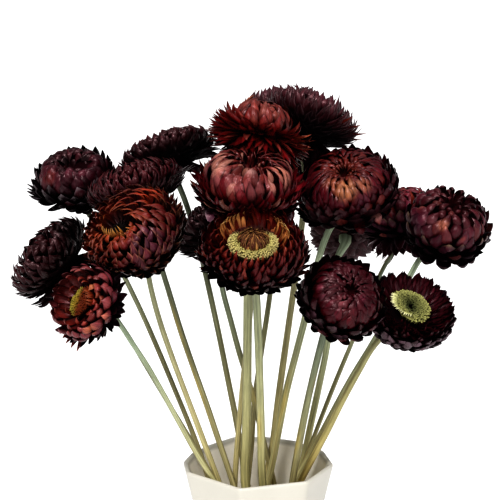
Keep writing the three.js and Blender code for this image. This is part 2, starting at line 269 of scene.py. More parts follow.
def bracts(c, n, R, rows, count, seed, colour, power=0.6, jit=1.0, ns=10, nu=5, spin=0.0, lean=(), wide=(), push=(),
           swirl=0.0, single=None, share=None, share7=None, matte_from=.84):
    """Bracts set round the axis n by the golden angle, innermost first. rows give, by layer, the bract's midrib as
    four points (distance from the axis, height) in parts of R, its width, how blunt its tip is and how cupped it is.
    lean and wide change the bracts of some layers on one side: (toward, amount, first layer, last layer).
    push moves what lies near a point: (centre, radius, move). swirl sweeps all tips sideways."""
    rng = np.random.default_rng(seed)
    n, ea, eb = frame_of(n)
    if single is None:
        M = count
        k = np.arange(M)
        t = ((k + 0.5) / M) ** power
        if share is not None:  # this part of all bracts makes up the ball
            t = np.interp(t, [0, share, 1], [0, 0.75, 1])
        if share7 is not None:
            t = np.interp(t, [0, share7[0], 1], [0, share7[1], 1])
        keys = [(r[0], list(r[1]) + list(r[2:])) for r in rows]
        v = lerp_keys(keys, np.clip(t + rng.normal(0, 0.012, M), 0, 1))
        phi = k * GOLDEN + spin + rng.normal(0, 0.05, M) * jit
    else:  # bracts placed one by one: (direction, layer, midrib, width, tip, cup)
        M = len(single)
        k = np.arange(M)
        t = np.array([s[1] for s in single], float)
        v = np.array([list(s[2]) + list(s[3:]) for s in single], float)
        phi = np.array([math.atan2(np.dot(s[0], eb), np.dot(s[0], ea)) for s in single])
    P = v[:, :8].reshape(M, 4, 2).copy()
    W, blunt, cup = v[:, 8], v[:, 9], v[:, 10]
    W = W * rng.uniform(0.82, 1.2, M)
    # each bract's own droop, length and bend
    P[:, 3] += rng.normal(0, 0.026, (M, 2)) * jit
    P[:, 2] += rng.normal(0, 0.020, (M, 2)) * jit
    P[:, 3] = P[:, 2] + (P[:, 3] - P[:, 2]) * rng.uniform(1 - 0.2 * jit, 1 + 0.2 * jit, M)[:, None]
    er = np.cos(phi)[:, None] * ea + np.sin(phi)[:, None] * eb
    ep = -np.sin(phi)[:, None] * ea + np.cos(phi)[:, None] * eb
    for toward, amount, lo, hi in wide:
        d = toward - n * (toward @ n)
        f = np.clip(er @ unit(d) * 1.3 + 0.1, 0, 1) * window(t, lo, hi)
        W = W * (1 + amount * f)
        blunt = blunt * (1 + max(amount, -0.4) * f)
    s = np.linspace(0, 1, ns)
    u = np.linspace(-1, 1, nu)
    B = np.stack([(1 - s) ** 3, 3 * s * (1 - s) ** 2, 3 * s * s * (1 - s), s ** 3], 0)
    D = np.stack([-3 * (1 - s) ** 2, 3 * (1 - s) ** 2 - 6 * s * (1 - s), 6 * s * (1 - s) - 3 * s * s, 3 * s * s], 0)
    mid = np.einsum("mkc,ks->msc", P, B) * R
    tan = np.einsum("mkc,ks->msc", P, D)
    tan /= np.maximum(np.linalg.norm(tan, axis=2, keepdims=True), 1e-6)
    seg = np.linalg.norm(np.diff(mid, axis=1), axis=2)
    length = seg.sum(1)
    # across the midrib, in the plane of the axis: away from the flower's heart
    nor = np.stack([tan[..., 1], -tan[..., 0]], -1)
    sm = 0.54
    grow = np.clip(s / sm, 0, 1)
    shape_a = 0.38 + 0.62 * np.sqrt(np.clip(1 - (1 - grow) ** 2, 0, 1))
    fall = np.clip((s - sm) / (1 - sm), 0, 1)
    shape = shape_a[None, :] * (1 - fall[None, :] ** blunt[:, None])
    shape[:, -1] = np.where(blunt > 2.8, 0.16, 0.035)
    w = W[:, None] * R * shape
    for toward, amount, lo, hi in lean:
        d = toward - n * (toward @ n)
        f = (amount * np.clip(er @ unit(d) * 1.2 - 0.1, 0, 1) * window(t, lo, hi))[:, None] * (s[None, :] ** 1.4)
        mid = mid + nor * (f * R)[..., None]
    bend = rng.normal(0, 0.07, M) * jit + swirl
    twist = rng.normal(0, 0.20, M) * jit
    side = u[None, None, :] * w[:, :, None] / 2
    arc = cup[:, None, None] * w[:, :, None] * (0.36 - u[None, None, :] ** 2)
    # a slight crease along the midrib, and waved edges
    wave = rng.uniform(0, 6.28, M)[:, None, None]
    arc = arc + 0.03 * w[:, :, None] * np.abs(u)[None, None, :] * np.sin(9 * s[None, :, None] + wave + 2 * u[None, None, :])
    tw = twist[:, None, None] * s[None, :, None]
    lat = side * np.cos(tw) - arc * np.sin(tw) + (bend[:, None] * s[None, :] ** 2 * length[:, None])[:, :, None]
    out = side * np.sin(tw) + arc * np.cos(tw)
    rho = mid[:, :, None, 0] + nor[:, :, None, 0] * out
    h = mid[:, :, None, 1] + nor[:, :, None, 1] * out
    X = (np.asarray(c, float) + rho[..., None] * er[:, None, None, :] + h[..., None] * n
         + lat[..., None] * ep[:, None, None, :])
    for centre, radius, move in push:
        d = np.linalg.norm(X - np.asarray(centre, float), axis=-1)
        X = X + np.exp(-(d / radius) ** 2)[..., None] * np.asarray(move, float)
    verts = X.reshape(-1, 3) * MM
    i = np.arange(ns - 1)[:, None] * nu + np.arange(nu - 1)[None, :]
    q = np.stack([i, i + nu, i + nu + 1, i + 1], -1).reshape(-1, 4)
    quads = (np.arange(M)[:, None, None] * (ns * nu) + q[None]).reshape(-1, 4)
    S = np.broadcast_to(s[None, :, None], (M, ns, nu))
    U = np.broadcast_to(u[None, None, :], (M, ns, nu))
    T = np.broadcast_to(t[:, None, None], (M, ns, nu))
    RN = np.broadcast_to(rng.uniform(0, 1, M)[:, None, None], (M, ns, nu))
    RN2 = np.broadcast_to(rng.uniform(0, 1, M)[:, None, None], (M, ns, nu))
    run = np.concatenate([np.zeros((M, 1)), np.cumsum(seg, 1)], 1)
    lay = np.stack([side + 0 * S, run[:, :, None] + 0 * U, RN * 90], -1)
    tint = colour(T, S, U, RN, RN2, X, n)
    tint = np.concatenate([np.clip(tint, 0, 1), np.ones(tint.shape[:-1] + (1,))], -1)
    # a place of its own on the sheet for each bract
    cols = int(math.ceil(math.sqrt(M * 0.5)))
    rowsn = int(math.ceil(M / cols))
    gx, gy = (k % cols), (k // cols)
    uvx = (gx[:, None, None] + 0.06 + 0.88 * (U + 1) / 2) / cols
    uvy = (gy[:, None, None] + 0.04 + 0.92 * S) / rowsn
    # the shaded underside has less gloss
    mat = np.repeat((t > (matte_from if single is None else 0.94)).astype(int), len(q))
    return dict(verts=verts, quads=quads, tint=tint.reshape(-1, 4), lay=lay.reshape(-1, 3),
                uv=np.stack([uvx, uvy], -1).reshape(-1, 2), mat=mat)


def joined(parts):
    """Several sets of arrays as one, each with its own strip of the sheet."""
    out = dict(verts=[], quads=[], tint=[], lay=[], uv=[], mat=[])
    at = 0
    total = float(sum(len(p["quads"]) for p in parts))
    y = 0.0
    for p in parts:
        out["verts"].append(p["verts"])
        out["quads"].append(p["quads"] + at)
        at += len(p["verts"])
        out["tint"].append(p["tint"])
        out["lay"].append(p["lay"])
        share = len(p["quads"]) / total
        out["uv"].append(np.stack([p["uv"][:, 0], y + p["uv"][:, 1] * share], 1))
        y += share
        out["mat"].append(np.zeros(len(p["quads"]), int) + p.get("mat", 0))
    return {k: np.concatenate(v) for k, v in out.items()}


def piece(name, parts, mats, node):
    a = joined(parts)
    ob = mesh_object(name, a["verts"], a["quads"], point=dict(tint=a["tint"], lay=a["lay"]),
                     uvs=dict(OFBake=a["uv"]), mats=mats, face_mat=a["mat"])
    if node:
        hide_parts(node)
    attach(ob, "root")
    return ob


# ------------------------------------------------------------------ the layout of the bouquet, as the CAD model has it
FLOWERS = {
    1: dict(c=(-91.2, 34.4, 283.6), n=(-0.14, -0.368, 0.919), r=19.7, s=1.25, path=[
        (-90.0,37.6,275.6), (-89.7,38.5,273.3), (-87.6,38.5,270.2), (-82.1,37.4,263.4), (-75.9,34.6,252.6), (-67.7,30.9,238.1), (-58.3,26.3,219.6), (-49.7,21.5,200.8), (-41.5,16.3,181.9), (-33.4,10.8,163.1), (-26.2,4.7,144.3), (-20.3,-1.8,125.6), (-14.3,-8.5,107.2), (-7.9,-13.7,87.9), (-1.6,-16.9,68.1), (4.8,-19.4,48.4), (10.8,-21.0,28.6), (15.1,-19.9,5.7)]),
    2: dict(c=(-45.6, 43.6, 296.7), n=(-0.341, 0.304, 0.89), r=23.8, s=1.5, path=[
        (-42.1,40.5,287.5), (-41.2,39.7,285.2), (-39.8,38.8,281.8), (-36.5,37.1,273.9), (-32.6,34.6,262.2), (-28.2,31.1,246.4), (-23.5,26.7,226.5), (-19.1,22.1,206.5), (-15.0,17.4,186.6), (-10.9,12.5,166.7), (-7.6,7.3,146.8), (-6.9,2.1,127.0), (-7.2,-3.1,107.2), (-6.7,-8.2,87.4), (-6.4,-12.5,67.8), (-6.6,-16.2,48.2), (-6.9,-20.2,28.3), (-6.0,-24.0,5.8)]),
    3: dict(c=(-58.6, 4.6, 287.4), n=(-0.307, 0.137, 0.942), r=24.4, s=1.55, path=[
        (-55.3,3.1,277.4), (-54.5,2.8,274.9), (-53.1,2.6,271.7), (-50.2,2.4,264.2), (-47.8,2.1,252.3), (-43.4,1.8,236.8), (-37.9,1.2,217.5), (-31.7,0.3,198.5), (-25.3,-1.0,179.8), (-19.2,-2.9,161.1), (-13.1,-5.4,142.7), (-7.4,-8.8,123.6), (-1.6,-12.3,104.6), (3.6,-14.3,85.3), (8.0,-15.7,65.9), (11.8,-16.7,46.6), (15.2,-17.4,27.4), (17.8,-17.1,5.7)]),
    4: dict(c=(-56.8, -41.0, 274.7), n=(-0.396, -0.644, 0.655), r=24.3, s=1.5, path=[
        (-52.6,-34.2,267.8), (-51.6,-32.5,266.1), (-51.4,-31.5,262.9), (-51.6,-30.2,255.0), (-49.8,-28.1,243.4), (-46.3,-25.3,228.3), (-40.8,-21.8,209.6), (-34.9,-18.5,191.2), (-28.9,-15.6,172.9), (-23.0,-13.2,154.9), (-16.8,-11.6,136.5), (-10.0,-11.1,116.7), (-3.0,-10.4,97.7), (4.5,-9.5,79.8), (10.9,-8.3,62.1), (16.5,-7.2,44.2), (21.0,-6.0,26.2), (24.3,-4.5,5.8)]),
    5: dict(c=(-101.0, 4.0, 251.4), n=(-0.765, -0.012, 0.644), r=24.6, s=1.2, path=[
        (-92.8,4.1,244.5), (-90.8,4.2,242.8), (-88.0,4.3,240.9), (-81.7,4.7,236.6), (-73.7,4.6,228.1), (-64.7,4.1,215.4), (-55.0,2.9,198.7), (-45.4,1.5,182.0), (-35.7,-0.2,165.5), (-26.1,-2.2,149.1), (-16.7,-5.5,132.0), (-7.7,-7.6,114.5), (1.0,-8.9,97.4), (8.6,-10.7,80.1), (13.6,-11.7,62.3), (17.5,-11.9,44.3), (20.8,-11.4,26.1), (22.9,-10.0,5.6)]),
    6: dict(c=(-77.3, -61.6, 247.7), n=(-0.62, -0.656, 0.43), r=17.2, s=1.25, path=[
        (-72.6,-56.6,244.5), (-71.0,-54.9,243.4), (-68.3,-53.4,241.1), (-63.6,-50.8,235.1), (-58.5,-47.1,225.4), (-51.8,-42.2,212.6), (-44.4,-36.3,196.2), (-37.2,-30.7,179.8), (-30.0,-25.3,163.6), (-21.8,-20.3,147.9), (-12.7,-16.3,131.5), (-1.4,-12.4,115.4), (5.8,-7.7,97.9), (11.4,-3.3,80.2), (16.1,0.4,62.5), (19.8,3.6,44.7), (22.5,6.4,26.7), (23.3,8.9,5.7)]),
    7: dict(c=(-0.2, 6.2, 314.3), n=(0.29, 0.104, 0.951), r=23.8, s=1.4, path=[
        (-3.2,5.1,304.5), (-3.9,4.9,302.0), (-3.1,6.6,297.9), (-0.7,7.2,289.1), (-0.9,6.4,276.2), (-1.6,5.1,259.2), (-2.9,3.9,237.8), (-4.6,2.9,216.4), (-7.0,2.0,195.0), (-8.9,0.9,173.7), (-10.7,0.0,152.4), (-11.7,-1.6,131.2), (-11.3,-5.0,109.8), (-10.5,-10.2,88.6), (-9.2,-16.0,68.1), (-6.9,-20.7,47.7), (-4.2,-23.7,27.7), (-1.6,-24.7,5.6)]),
    8: dict(c=(25.8, 34.0, 314.2), n=(0.366, 0.43, 0.825), r=24.4, s=1.6, path=[
        (21.9,29.4,305.4), (20.9,28.3,303.2), (21.2,27.4,299.7), (22.8,25.9,290.8), (22.6,24.3,277.9), (21.0,22.1,260.6), (18.4,19.4,239.1), (15.4,16.8,217.5), (12.4,14.4,195.8), (9.5,12.5,173.9), (6.8,11.0,151.8), (2.3,9.6,130.8), (-4.3,8.6,111.1), (-9.6,7.6,90.9), (-13.6,6.6,70.2), (-16.7,6.0,49.7), (-18.7,6.8,29.2), (-21.3,7.7,5.6)]),
    9: dict(c=(-4.5, -19.2, 292.3), n=(0.059, -0.3, 0.952), r=23.8, s=2.3, path=[
        (-5.1,-16.1,282.5), (-5.2,-15.3,280.0), (-4.9,-14.9,276.4), (-4.0,-14.2,268.3), (-4.3,-13.2,256.5), (-4.8,-11.9,240.8), (-5.1,-10.3,221.1), (-5.3,-8.7,201.5), (-5.5,-7.2,181.9), (-5.9,-5.8,162.4), (-6.4,-4.6,142.9), (-3.7,-3.8,122.9), (-1.4,-3.2,103.0), (-0.3,-5.6,84.1), (2.3,-10.1,65.2), (4.7,-14.1,46.3), (7.0,-17.8,27.5), (10.4,-21.5,6.1)]),
    10: dict(c=(-2.7, -64.8, 273.8), n=(0.027, -0.429, 0.903), r=24.2, s=1.9, path=[
        (-2.9,-60.3,264.3), (-3.0,-59.2,262.0), (-2.5,-58.0,258.7), (-1.3,-55.4,251.3), (-0.7,-51.2,240.4), (-0.1,-45.7,225.8), (0.4,-38.8,207.6), (0.9,-32.0,189.4), (1.3,-25.3,171.3), (1.6,-18.6,153.1), (3.0,-12.0,135.1), (6.4,-5.5,117.2), (9.5,0.5,99.3), (12.0,6.0,81.3), (13.7,10.7,63.2), (14.5,14.8,45.1), (14.5,18.1,26.8), (13.4,20.2,5.7)]),
    11: dict(c=(41.9, -6.0, 288.8), n=(-0.155, -0.464, 0.872), r=23.0, s=1.7, path=[
        (43.5,-1.4,280.1), (43.9,-0.2,277.8), (41.9,0.6,275.3), (35.7,1.3,269.9), (30.9,1.2,259.0), (27.1,0.8,243.4), (22.9,0.4,223.7), (18.2,0.3,204.2), (13.5,0.4,184.5), (9.9,0.8,164.5), (6.3,1.5,144.3), (2.0,3.2,124.8), (-2.1,5.3,105.3), (-5.0,8.9,86.0), (-6.9,12.0,66.6), (-8.2,15.4,47.1), (-10.2,19.0,27.8), (-12.2,21.2,5.8)]),
    12: dict(c=(89.3, -8.0, 271.5), n=(0.125, -0.494, 0.861), r=19.9, s=1.6, path=[
        (88.2,-3.7,264.0), (87.8,-2.4,261.8), (85.2,-1.6,259.5), (78.5,-0.6,254.2), (72.4,-0.7,243.6), (65.1,-1.0,229.0), (55.5,-1.0,210.9), (45.4,-0.6,193.0), (36.2,-0.2,174.6), (27.1,0.4,156.1), (17.7,1.2,138.0), (7.8,3.5,121.1), (-0.0,9.4,103.6), (-6.7,13.4,85.0), (-11.8,14.1,65.7), (-15.8,14.1,46.4), (-19.3,13.3,27.3), (-21.7,11.5,5.7)]),
    13: dict(c=(68.9, 23.4, 268.0), n=(-0.235, 0.003, 0.972), r=19.1, s=1.15, path=[
        (70.9,23.4,259.9), (71.5,23.4,257.3), (69.9,23.2,254.4), (64.8,22.5,248.0), (59.3,21.0,237.8), (53.3,18.7,223.4), (46.0,16.1,205.3), (38.6,13.9,187.2), (31.5,12.0,168.7), (24.6,10.7,150.0), (17.1,10.5,132.1), (9.3,10.6,115.1), (1.9,7.4,97.9), (-4.4,6.2,79.5), (-11.2,8.6,61.9), (-17.7,10.1,44.1), (-22.5,9.5,26.1), (-24.2,6.5,5.7)]),
    14: dict(c=(38.1, -50.0, 247.2), n=(0.344, -0.691, 0.635), r=20.6, s=1.75, path=[
        (35.0,-43.8,241.5), (34.1,-42.0,239.9), (33.2,-40.7,237.1), (31.3,-38.6,230.3), (29.1,-35.6,220.2), (26.5,-31.5,206.9), (23.5,-26.3,190.2), (20.9,-21.0,173.4), (18.5,-15.6,156.5), (16.5,-10.1,139.7), (16.3,-4.2,123.2), (15.7,3.1,107.1), (14.7,10.3,90.9), (11.8,16.2,74.7), (8.2,19.8,58.5), (4.6,22.3,42.0), (1.2,24.2,25.4), (-2.7,24.3,5.8)]),
    15: dict(c=(72.4, -30.0, 236.2), n=(0.144, -0.525, 0.839), r=21.1, s=1.6, path=[
        (71.1,-25.2,228.4), (70.7,-23.8,226.3), (68.2,-22.5,224.8), (61.4,-20.2,222.3), (54.6,-18.4,214.5), (48.1,-16.6,202.0), (40.6,-14.1,186.1), (33.6,-11.2,169.8), (26.2,-7.6,153.5), (19.3,-3.5,137.2), (13.3,1.0,121.2), (8.3,5.1,104.6), (1.3,10.3,88.8), (-4.3,15.3,73.7), (-8.8,18.2,57.9), (-12.7,19.2,41.6), (-15.6,19.0,25.0), (-17.3,17.5,5.7)]),
    16: dict(c=(-21.5, 14.0, 264.3), n=(-0.525, 0.346, 0.778), r=20.9, s=1.4, path=[
        (-16.7,10.8,257.2), (-15.3,9.9,255.2), (-16.0,9.4,252.2), (-18.7,8.8,245.3), (-17.2,8.3,234.6), (-13.6,7.7,220.4), (-9.0,7.0,202.7), (-3.6,6.4,185.0), (0.6,6.1,167.0), (4.9,6.1,148.8), (8.8,6.8,130.9), (11.1,7.3,113.4), (10.7,8.9,96.2), (10.0,11.2,78.7), (10.2,14.6,61.0), (10.4,18.1,43.3), (10.3,21.0,25.6), (9.5,22.9,5.7)]),
    17: dict(c=(43.7, 46.6, 254.6), n=(0.037, 0.954, 0.298), r=19.1, s=1.6, path=[
        (43.4,38.6,252.1), (43.3,36.1,251.3), (42.2,34.8,249.5), (39.3,33.2,244.2), (37.5,31.1,233.7), (36.4,28.1,218.9), (34.2,24.3,200.5), (30.5,20.8,182.3), (26.6,17.8,163.8), (22.7,15.3,145.1), (17.7,14.0,127.2), (12.1,13.1,109.9), (6.9,12.2,92.3), (0.1,9.4,75.5), (-7.2,6.5,59.0), (-13.4,3.7,42.0), (-19.3,2.2,25.0), (-24.5,2.7,6.0)]),
    18: dict(c=(11.3, 75.8, 307.6), n=(-0.172, 0.381, 0.909), r=21.9, s=1.4, path=[
        (12.9,72.1,298.8), (13.4,71.1,296.5), (13.7,69.8,292.7), (13.6,66.7,284.1), (12.4,62.0,271.7), (10.6,55.9,255.2), (7.8,48.2,234.6), (4.8,40.6,214.0), (1.4,32.9,193.5), (-1.7,25.2,173.0), (-3.3,17.4,152.3), (-5.6,9.8,131.8), (-8.7,2.7,111.6), (-11.1,-4.0,91.2), (-12.6,-9.9,70.7), (-13.2,-14.9,49.9), (-12.8,-19.1,29.0), (-11.3,-22.1,5.7)]),
}
# small moves of the petals against the CAD solids, millimetres to the right and up in the picture
for i, (dx, dy) in {1: (0.6, 0.0), 6: (-0.1, 0.8), 7: (0.7, 0.0), 13: (0.0, 1.0), 15: (-1.9, -0.5)}.items():
    FLOWERS[i]["c"] = tuple(np.asarray(FLOWERS[i]["c"]) + dx * clock(0) + dy * clock(90))

# ------------------------------------------------------------------ bract layers
# Each row: place in the layering (0 the heart, 1 the underside), midrib points (distance, height), width, tip, cup.
def shingle(rows, a=.94, b=.42, z0=.03, under=.42, pit=None, full=1.0, bulge=.035):
    """Layers of bracts that lie along a low dome of radius a, b high above z0 and under deep beneath it, with a pit
    (radius, depth) at its heart. full under 1 gives it fuller shoulders.
    Each row: share, angle of the tip up the dome, length along it, width, tip, cup, how far the tip stands off."""
    th = np.radians(np.linspace(-90, 90, 721))
    co, si = np.cos(th), np.sin(th)
    r, h = a * np.abs(co) ** full, z0 + np.where(th < 0, under * si, b * np.abs(si) ** full * np.sign(si))
    if pit is not None:
        h = h - np.where(th > 0, pit[1] * np.exp(-(r / pit[0]) ** 2), 0)
    run = np.r_[0, np.cumsum(np.hypot(np.diff(r), np.diff(h)))]
    nr, nh = np.gradient(h, run), -np.gradient(r, run)

    def at(s, off):
        s = max(s, 0.0)
        return (np.interp(s, run, r) + off * np.interp(s, run, nr), np.interp(s, run, h) + off * np.interp(s, run, nh))
    out = []
    for q, angle, length, W, blunt, cup, lift in rows:
        s = np.interp(math.radians(angle), th, run)
        p3, p2, p1 = at(s, lift), at(s - 0.36 * length, bulge + 0.25 * lift), at(s - 0.8 * length, 0.02 + 0.3 * bulge)
        p0 = (0.45 * p1[0], 0.55 * p1[1] - 0.04)
        out.append((q, p0 + p1 + p2 + p3, W, blunt, cup))
    return out


def cushion(W, length=.40, a=.94, b=.42, rim=.06, tip=1.35, z0=.03, off=.05):
    """A closed head of small scales whose points stand off it, with a rim of longer ones."""
    return shingle([
        (0.00, 86, .26, W * .7, tip + .2, .22, off * .6), (0.08, 62, .34, W * .9, tip + .1, .22, off),
        (0.19, 44, length, W, tip, .22, off), (0.31, 30, length, W, tip, .22, off),
        (0.43, 17, length, W, tip, .22, off), (0.55, 5, length, W, tip, .22, max(off, rim)),
        (0.66, -6, length, W, tip, .22, rim), (0.77, -20, length, W, tip, .20, rim),
        (0.88, -42, length, W * 1.1, tip, .18, .03), (1.00, -72, .28, W * 1.15, tip + .4, .16, .01)], a, b, z0)


SKIRT = [
    (.79, (.22, -.14, .86, -.14, 1.00, .12, .99, .38), .32, 2.2, .24),
    (.86, (.20, -.20, .82, -.26, 1.04, -.04, 1.05, .18), .30, 2.0, .22),
    (.93, (.18, -.26, .70, -.38, 1.02, -.24, 1.09, -.04), .28, 1.8, .20),
    (1.0, (.14, -.34, .48, -.48, .86, -.48, 1.00, -.34), .26, 2.0, .16),
]
SKIRT9 = [
    (.77, (.22, -.12, .86, -.12, 1.06, .12, 1.06, .32), .24, 1.7, .22),
    (.84, (.22, -.16, .86, -.18, 1.06, .02, 1.12, .18), .24, 1.6, .20),
    (.91, (.20, -.20, .84, -.26, 1.04, -.12, 1.12, .0), .25, 1.6, .20),
    (1.0, (.14, -.34, .50, -.46, .88, -.44, 1.00, -.22), .26, 1.8, .16),
]
HEM = [
    (.79, (.22, -.14, .88, -.14, 1.04, .10, .98, .36), .32, 3.0, .28),
    (.87, (.20, -.20, .82, -.30, 1.08, -.08, 1.04, .16), .32, 3.2, .26),
    (.94, (.18, -.28, .68, -.42, 1.04, -.30, 1.07, -.08), .30, 3.0, .22),
    (1.0, (.14, -.34, .48, -.50, .88, -.52, 1.00, -.34), .26, 2.6, .16),
]


def dome(W, length=.70, tip=2.6, cup=.22, a=.92, b=.44, z0=.2, pit=(.12, .14), full=.86, heart=.40, skirt=SKIRT, off=.01, reach=20, bulge=.08):
    """A ball of incurved bracts over a skirt of free ones. Their tips lie on the layer inside and end between the pit
    and the angle reach; bulge is how far their backs swell."""
    up = 80 - reach
    return shingle([
        (0.00, 86, .24, W * heart, 1.8, .25, -.02), (0.12, 81, .40, W * (heart + .12), 2.0, .25, .0),
        (0.28, reach + up * .84, length * .8, W * (heart + .28), tip, cup, off), (0.44, reach + up * .62, length * .95, W * .88, tip, cup, off),
        (0.58, reach + up * .38, length, W, tip, cup, off), (0.68, reach + up * .16, length, W * 1.04, tip, cup, off),
        (0.75, reach, length, W * 1.06, tip, cup, off)], a, b, z0, under=z0 + .34, pit=pit, full=full, bulge=bulge) + skirt


OPEN4 = [
    (0.00, (.24, .00, .34, .20, .36, .36, .17, .35), .085, 1.6, .28),
    (0.12, (.26, .00, .46, .20, .52, .45, .20, .43), .095, 1.6, .28),
    (0.28, (.26, -.06, .66, .06, .80, .46, .46, .50), .105, 1.6, .28),
    (0.46, (.24, -.10, .86, -.04, 1.00, .34, .76, .46), .115, 1.5, .28),
    (0.62, (.22, -.16, .90, -.18, 1.06, .14, .98, .28), .125, 1.4, .26),
    (0.74, (.22, -.20, .80, -.24, 1.00, -.04, 1.10, .06), .130, 1.3, .22),
    (0.84, (.20, -.26, .66, -.34, .90, -.24, .99, -.12), .160, 1.6, .20),
    (1.00, (.14, -.34, .38, -.44, .66, -.44, .80, -.36), .190, 1.8, .16),
]
OPEN6 = [
    (0.00, (.38, .02, .48, .14, .50, .28, .38, .34), .110, 1.8, .26),
    (0.15, (.36, -.02, .60, .10, .68, .36, .44, .42), .140, 2.0, .30),
    (0.33, (.34, -.08, .78, .00, .94, .38, .66, .48), .260, 2.4, .26),
    (0.50, (.30, -.12, .90, -.12, 1.08, .24, .88, .42), .360, 2.8, .28),
    (0.64, (.26, -.18, .88, -.26, 1.10, .02, 1.02, .22), .340, 2.4, .26),
    (0.76, (.22, -.22, .76, -.32, 1.00, -.16, 1.12, -.04), .220, 1.6, .22),
    (0.88, (.20, -.28, .64, -.42, .94, -.36, 1.08, -.26), .200, 1.5, .20),
    (1.00, (.14, -.34, .42, -.48, .74, -.48, .88, -.42), .180, 1.8, .16),
]
RING = [
    (0.00, (.46, .02, .52, .14, .56, .26, .49, .30), .075, 1.6, .24),
    (0.16, (.44, -.02, .62, .10, .72, .32, .58, .40), .100, 1.8, .26),
    (0.32, (.40, -.06, .76, .02, .90, .30, .74, .42), .135, 2.0, .28),
    (0.48, (.36, -.12, .86, -.08, 1.02, .18, .90, .34), .160, 2.0, .28),
    (0.62, (.30, -.16, .88, -.20, 1.06, .02, 1.00, .20), .175, 1.9, .28),
    (0.74, (.26, -.20, .80, -.28, 1.02, -.10, 1.07, .04), .190, 1.7, .24),
    (0.86, (.20, -.26, .66, -.40, .96, -.28, 1.08, -.16), .210, 1.7, .18),
    (1.00, (.14, -.34, .42, -.44, .74, -.42, .90, -.27), .220, 1.8, .14),
]
DISH = [
    (0.00, (.46, .02, .50, .08, .54, .18, .50, .26), .050, 1.4, .16),
    (0.20, (.44, -.03, .58, .06, .70, .16, .70, .27), .075, 1.5, .16),
    (0.40, (.40, -.08, .68, .00, .86, .14, .87, .28), .110, 1.7, .18),
    (0.54, (.34, -.13, .78, -.08, .99, .06, .99, .26), .190, 1.9, .22),
    (0.64, (.28, -.18, .84, -.20, 1.08, -.02, 1.05, .16), .260, 2.4, .26),
    (0.76, (.22, -.24, .80, -.34, 1.10, -.18, 1.06, .04), .300, 3.0, .30),
    (0.88, (.18, -.30, .64, -.46, 1.02, -.36, 1.04, -.12), .320, 3.2, .28),
    (1.00, (.14, -.34, .42, -.48, .80, -.50, .92, -.32), .300, 3.0, .20),
]
RUFF = shingle([
    (0.00, 86, .26, .09, 2.4, .22, .0), (0.10, 80, .45, .13, 2.6, .24, .01), (0.22, 70, .62, .16, 2.8, .26, .02),
    (0.34, 60, .72, .18, 2.8, .26, .02), (0.44, 50, .76, .20, 2.6, .26, .02)], .62, .54, .05, pit=(.12, .10), full=.8, bulge=.07) + [
    (0.50, (.20, -.04, .60, .02, .80, .20, .83, .32), .180, 2.0, .28),
    (0.57, (.20, -.08, .62, -.08, .88, .08, .96, .18), .165, 1.7, .28),
    (0.66, (.20, -.10, .62, -.12, .92, -.02, 1.06, .04), .160, 1.6, .26),
    (0.76, (.20, -.14, .60, -.20, .90, -.16, 1.04, -.18), .165, 1.6, .24),
    (0.85, (.18, -.20, .56, -.28, .88, -.28, 1.02, -.28), .165, 1.6, .18),
    (0.93, (.14, -.28, .46, -.40, .76, -.46, .90, -.44), .210, 1.7, .16),
    (1.00, (.10, -.34, .28, -.46, .52, -.50, .70, -.46), .180, 1.8, .16),
]


def flatter(rows, k, w=1.0):
    """The same layers with heights scaled by k and widths by w."""
    return [(t, tuple(v * (k if j % 2 else 1.0) for j, v in enumerate(p)), W * w, b, c) for t, p, W, b, c in rows]


def near(i, deg, out, up=0.25):
    """A point by the head i: out in parts of its radius toward a picture direction, up along its axis."""
    f = FLOWERS[i]
    n = unit(f["n"])
    d = clock(deg)
    d = unit(d - n * (d @ n))
    return np.asarray(f["c"], float) + d * out * f["r"] + n * up * f["r"]


def spot(i, right, over, up):
    """The point at height up over the head i that shows right and over its middle in the picture, in parts of its radius."""
    f = FLOWERS[i]
    n, toward = unit(f["n"]), np.cross(clock(0), clock(90))
    d = clock(0) * right + clock(90) * over
    return np.asarray(f["c"], float) + (d + toward * ((up - d @ n) / (toward @ n))) * f["r"]


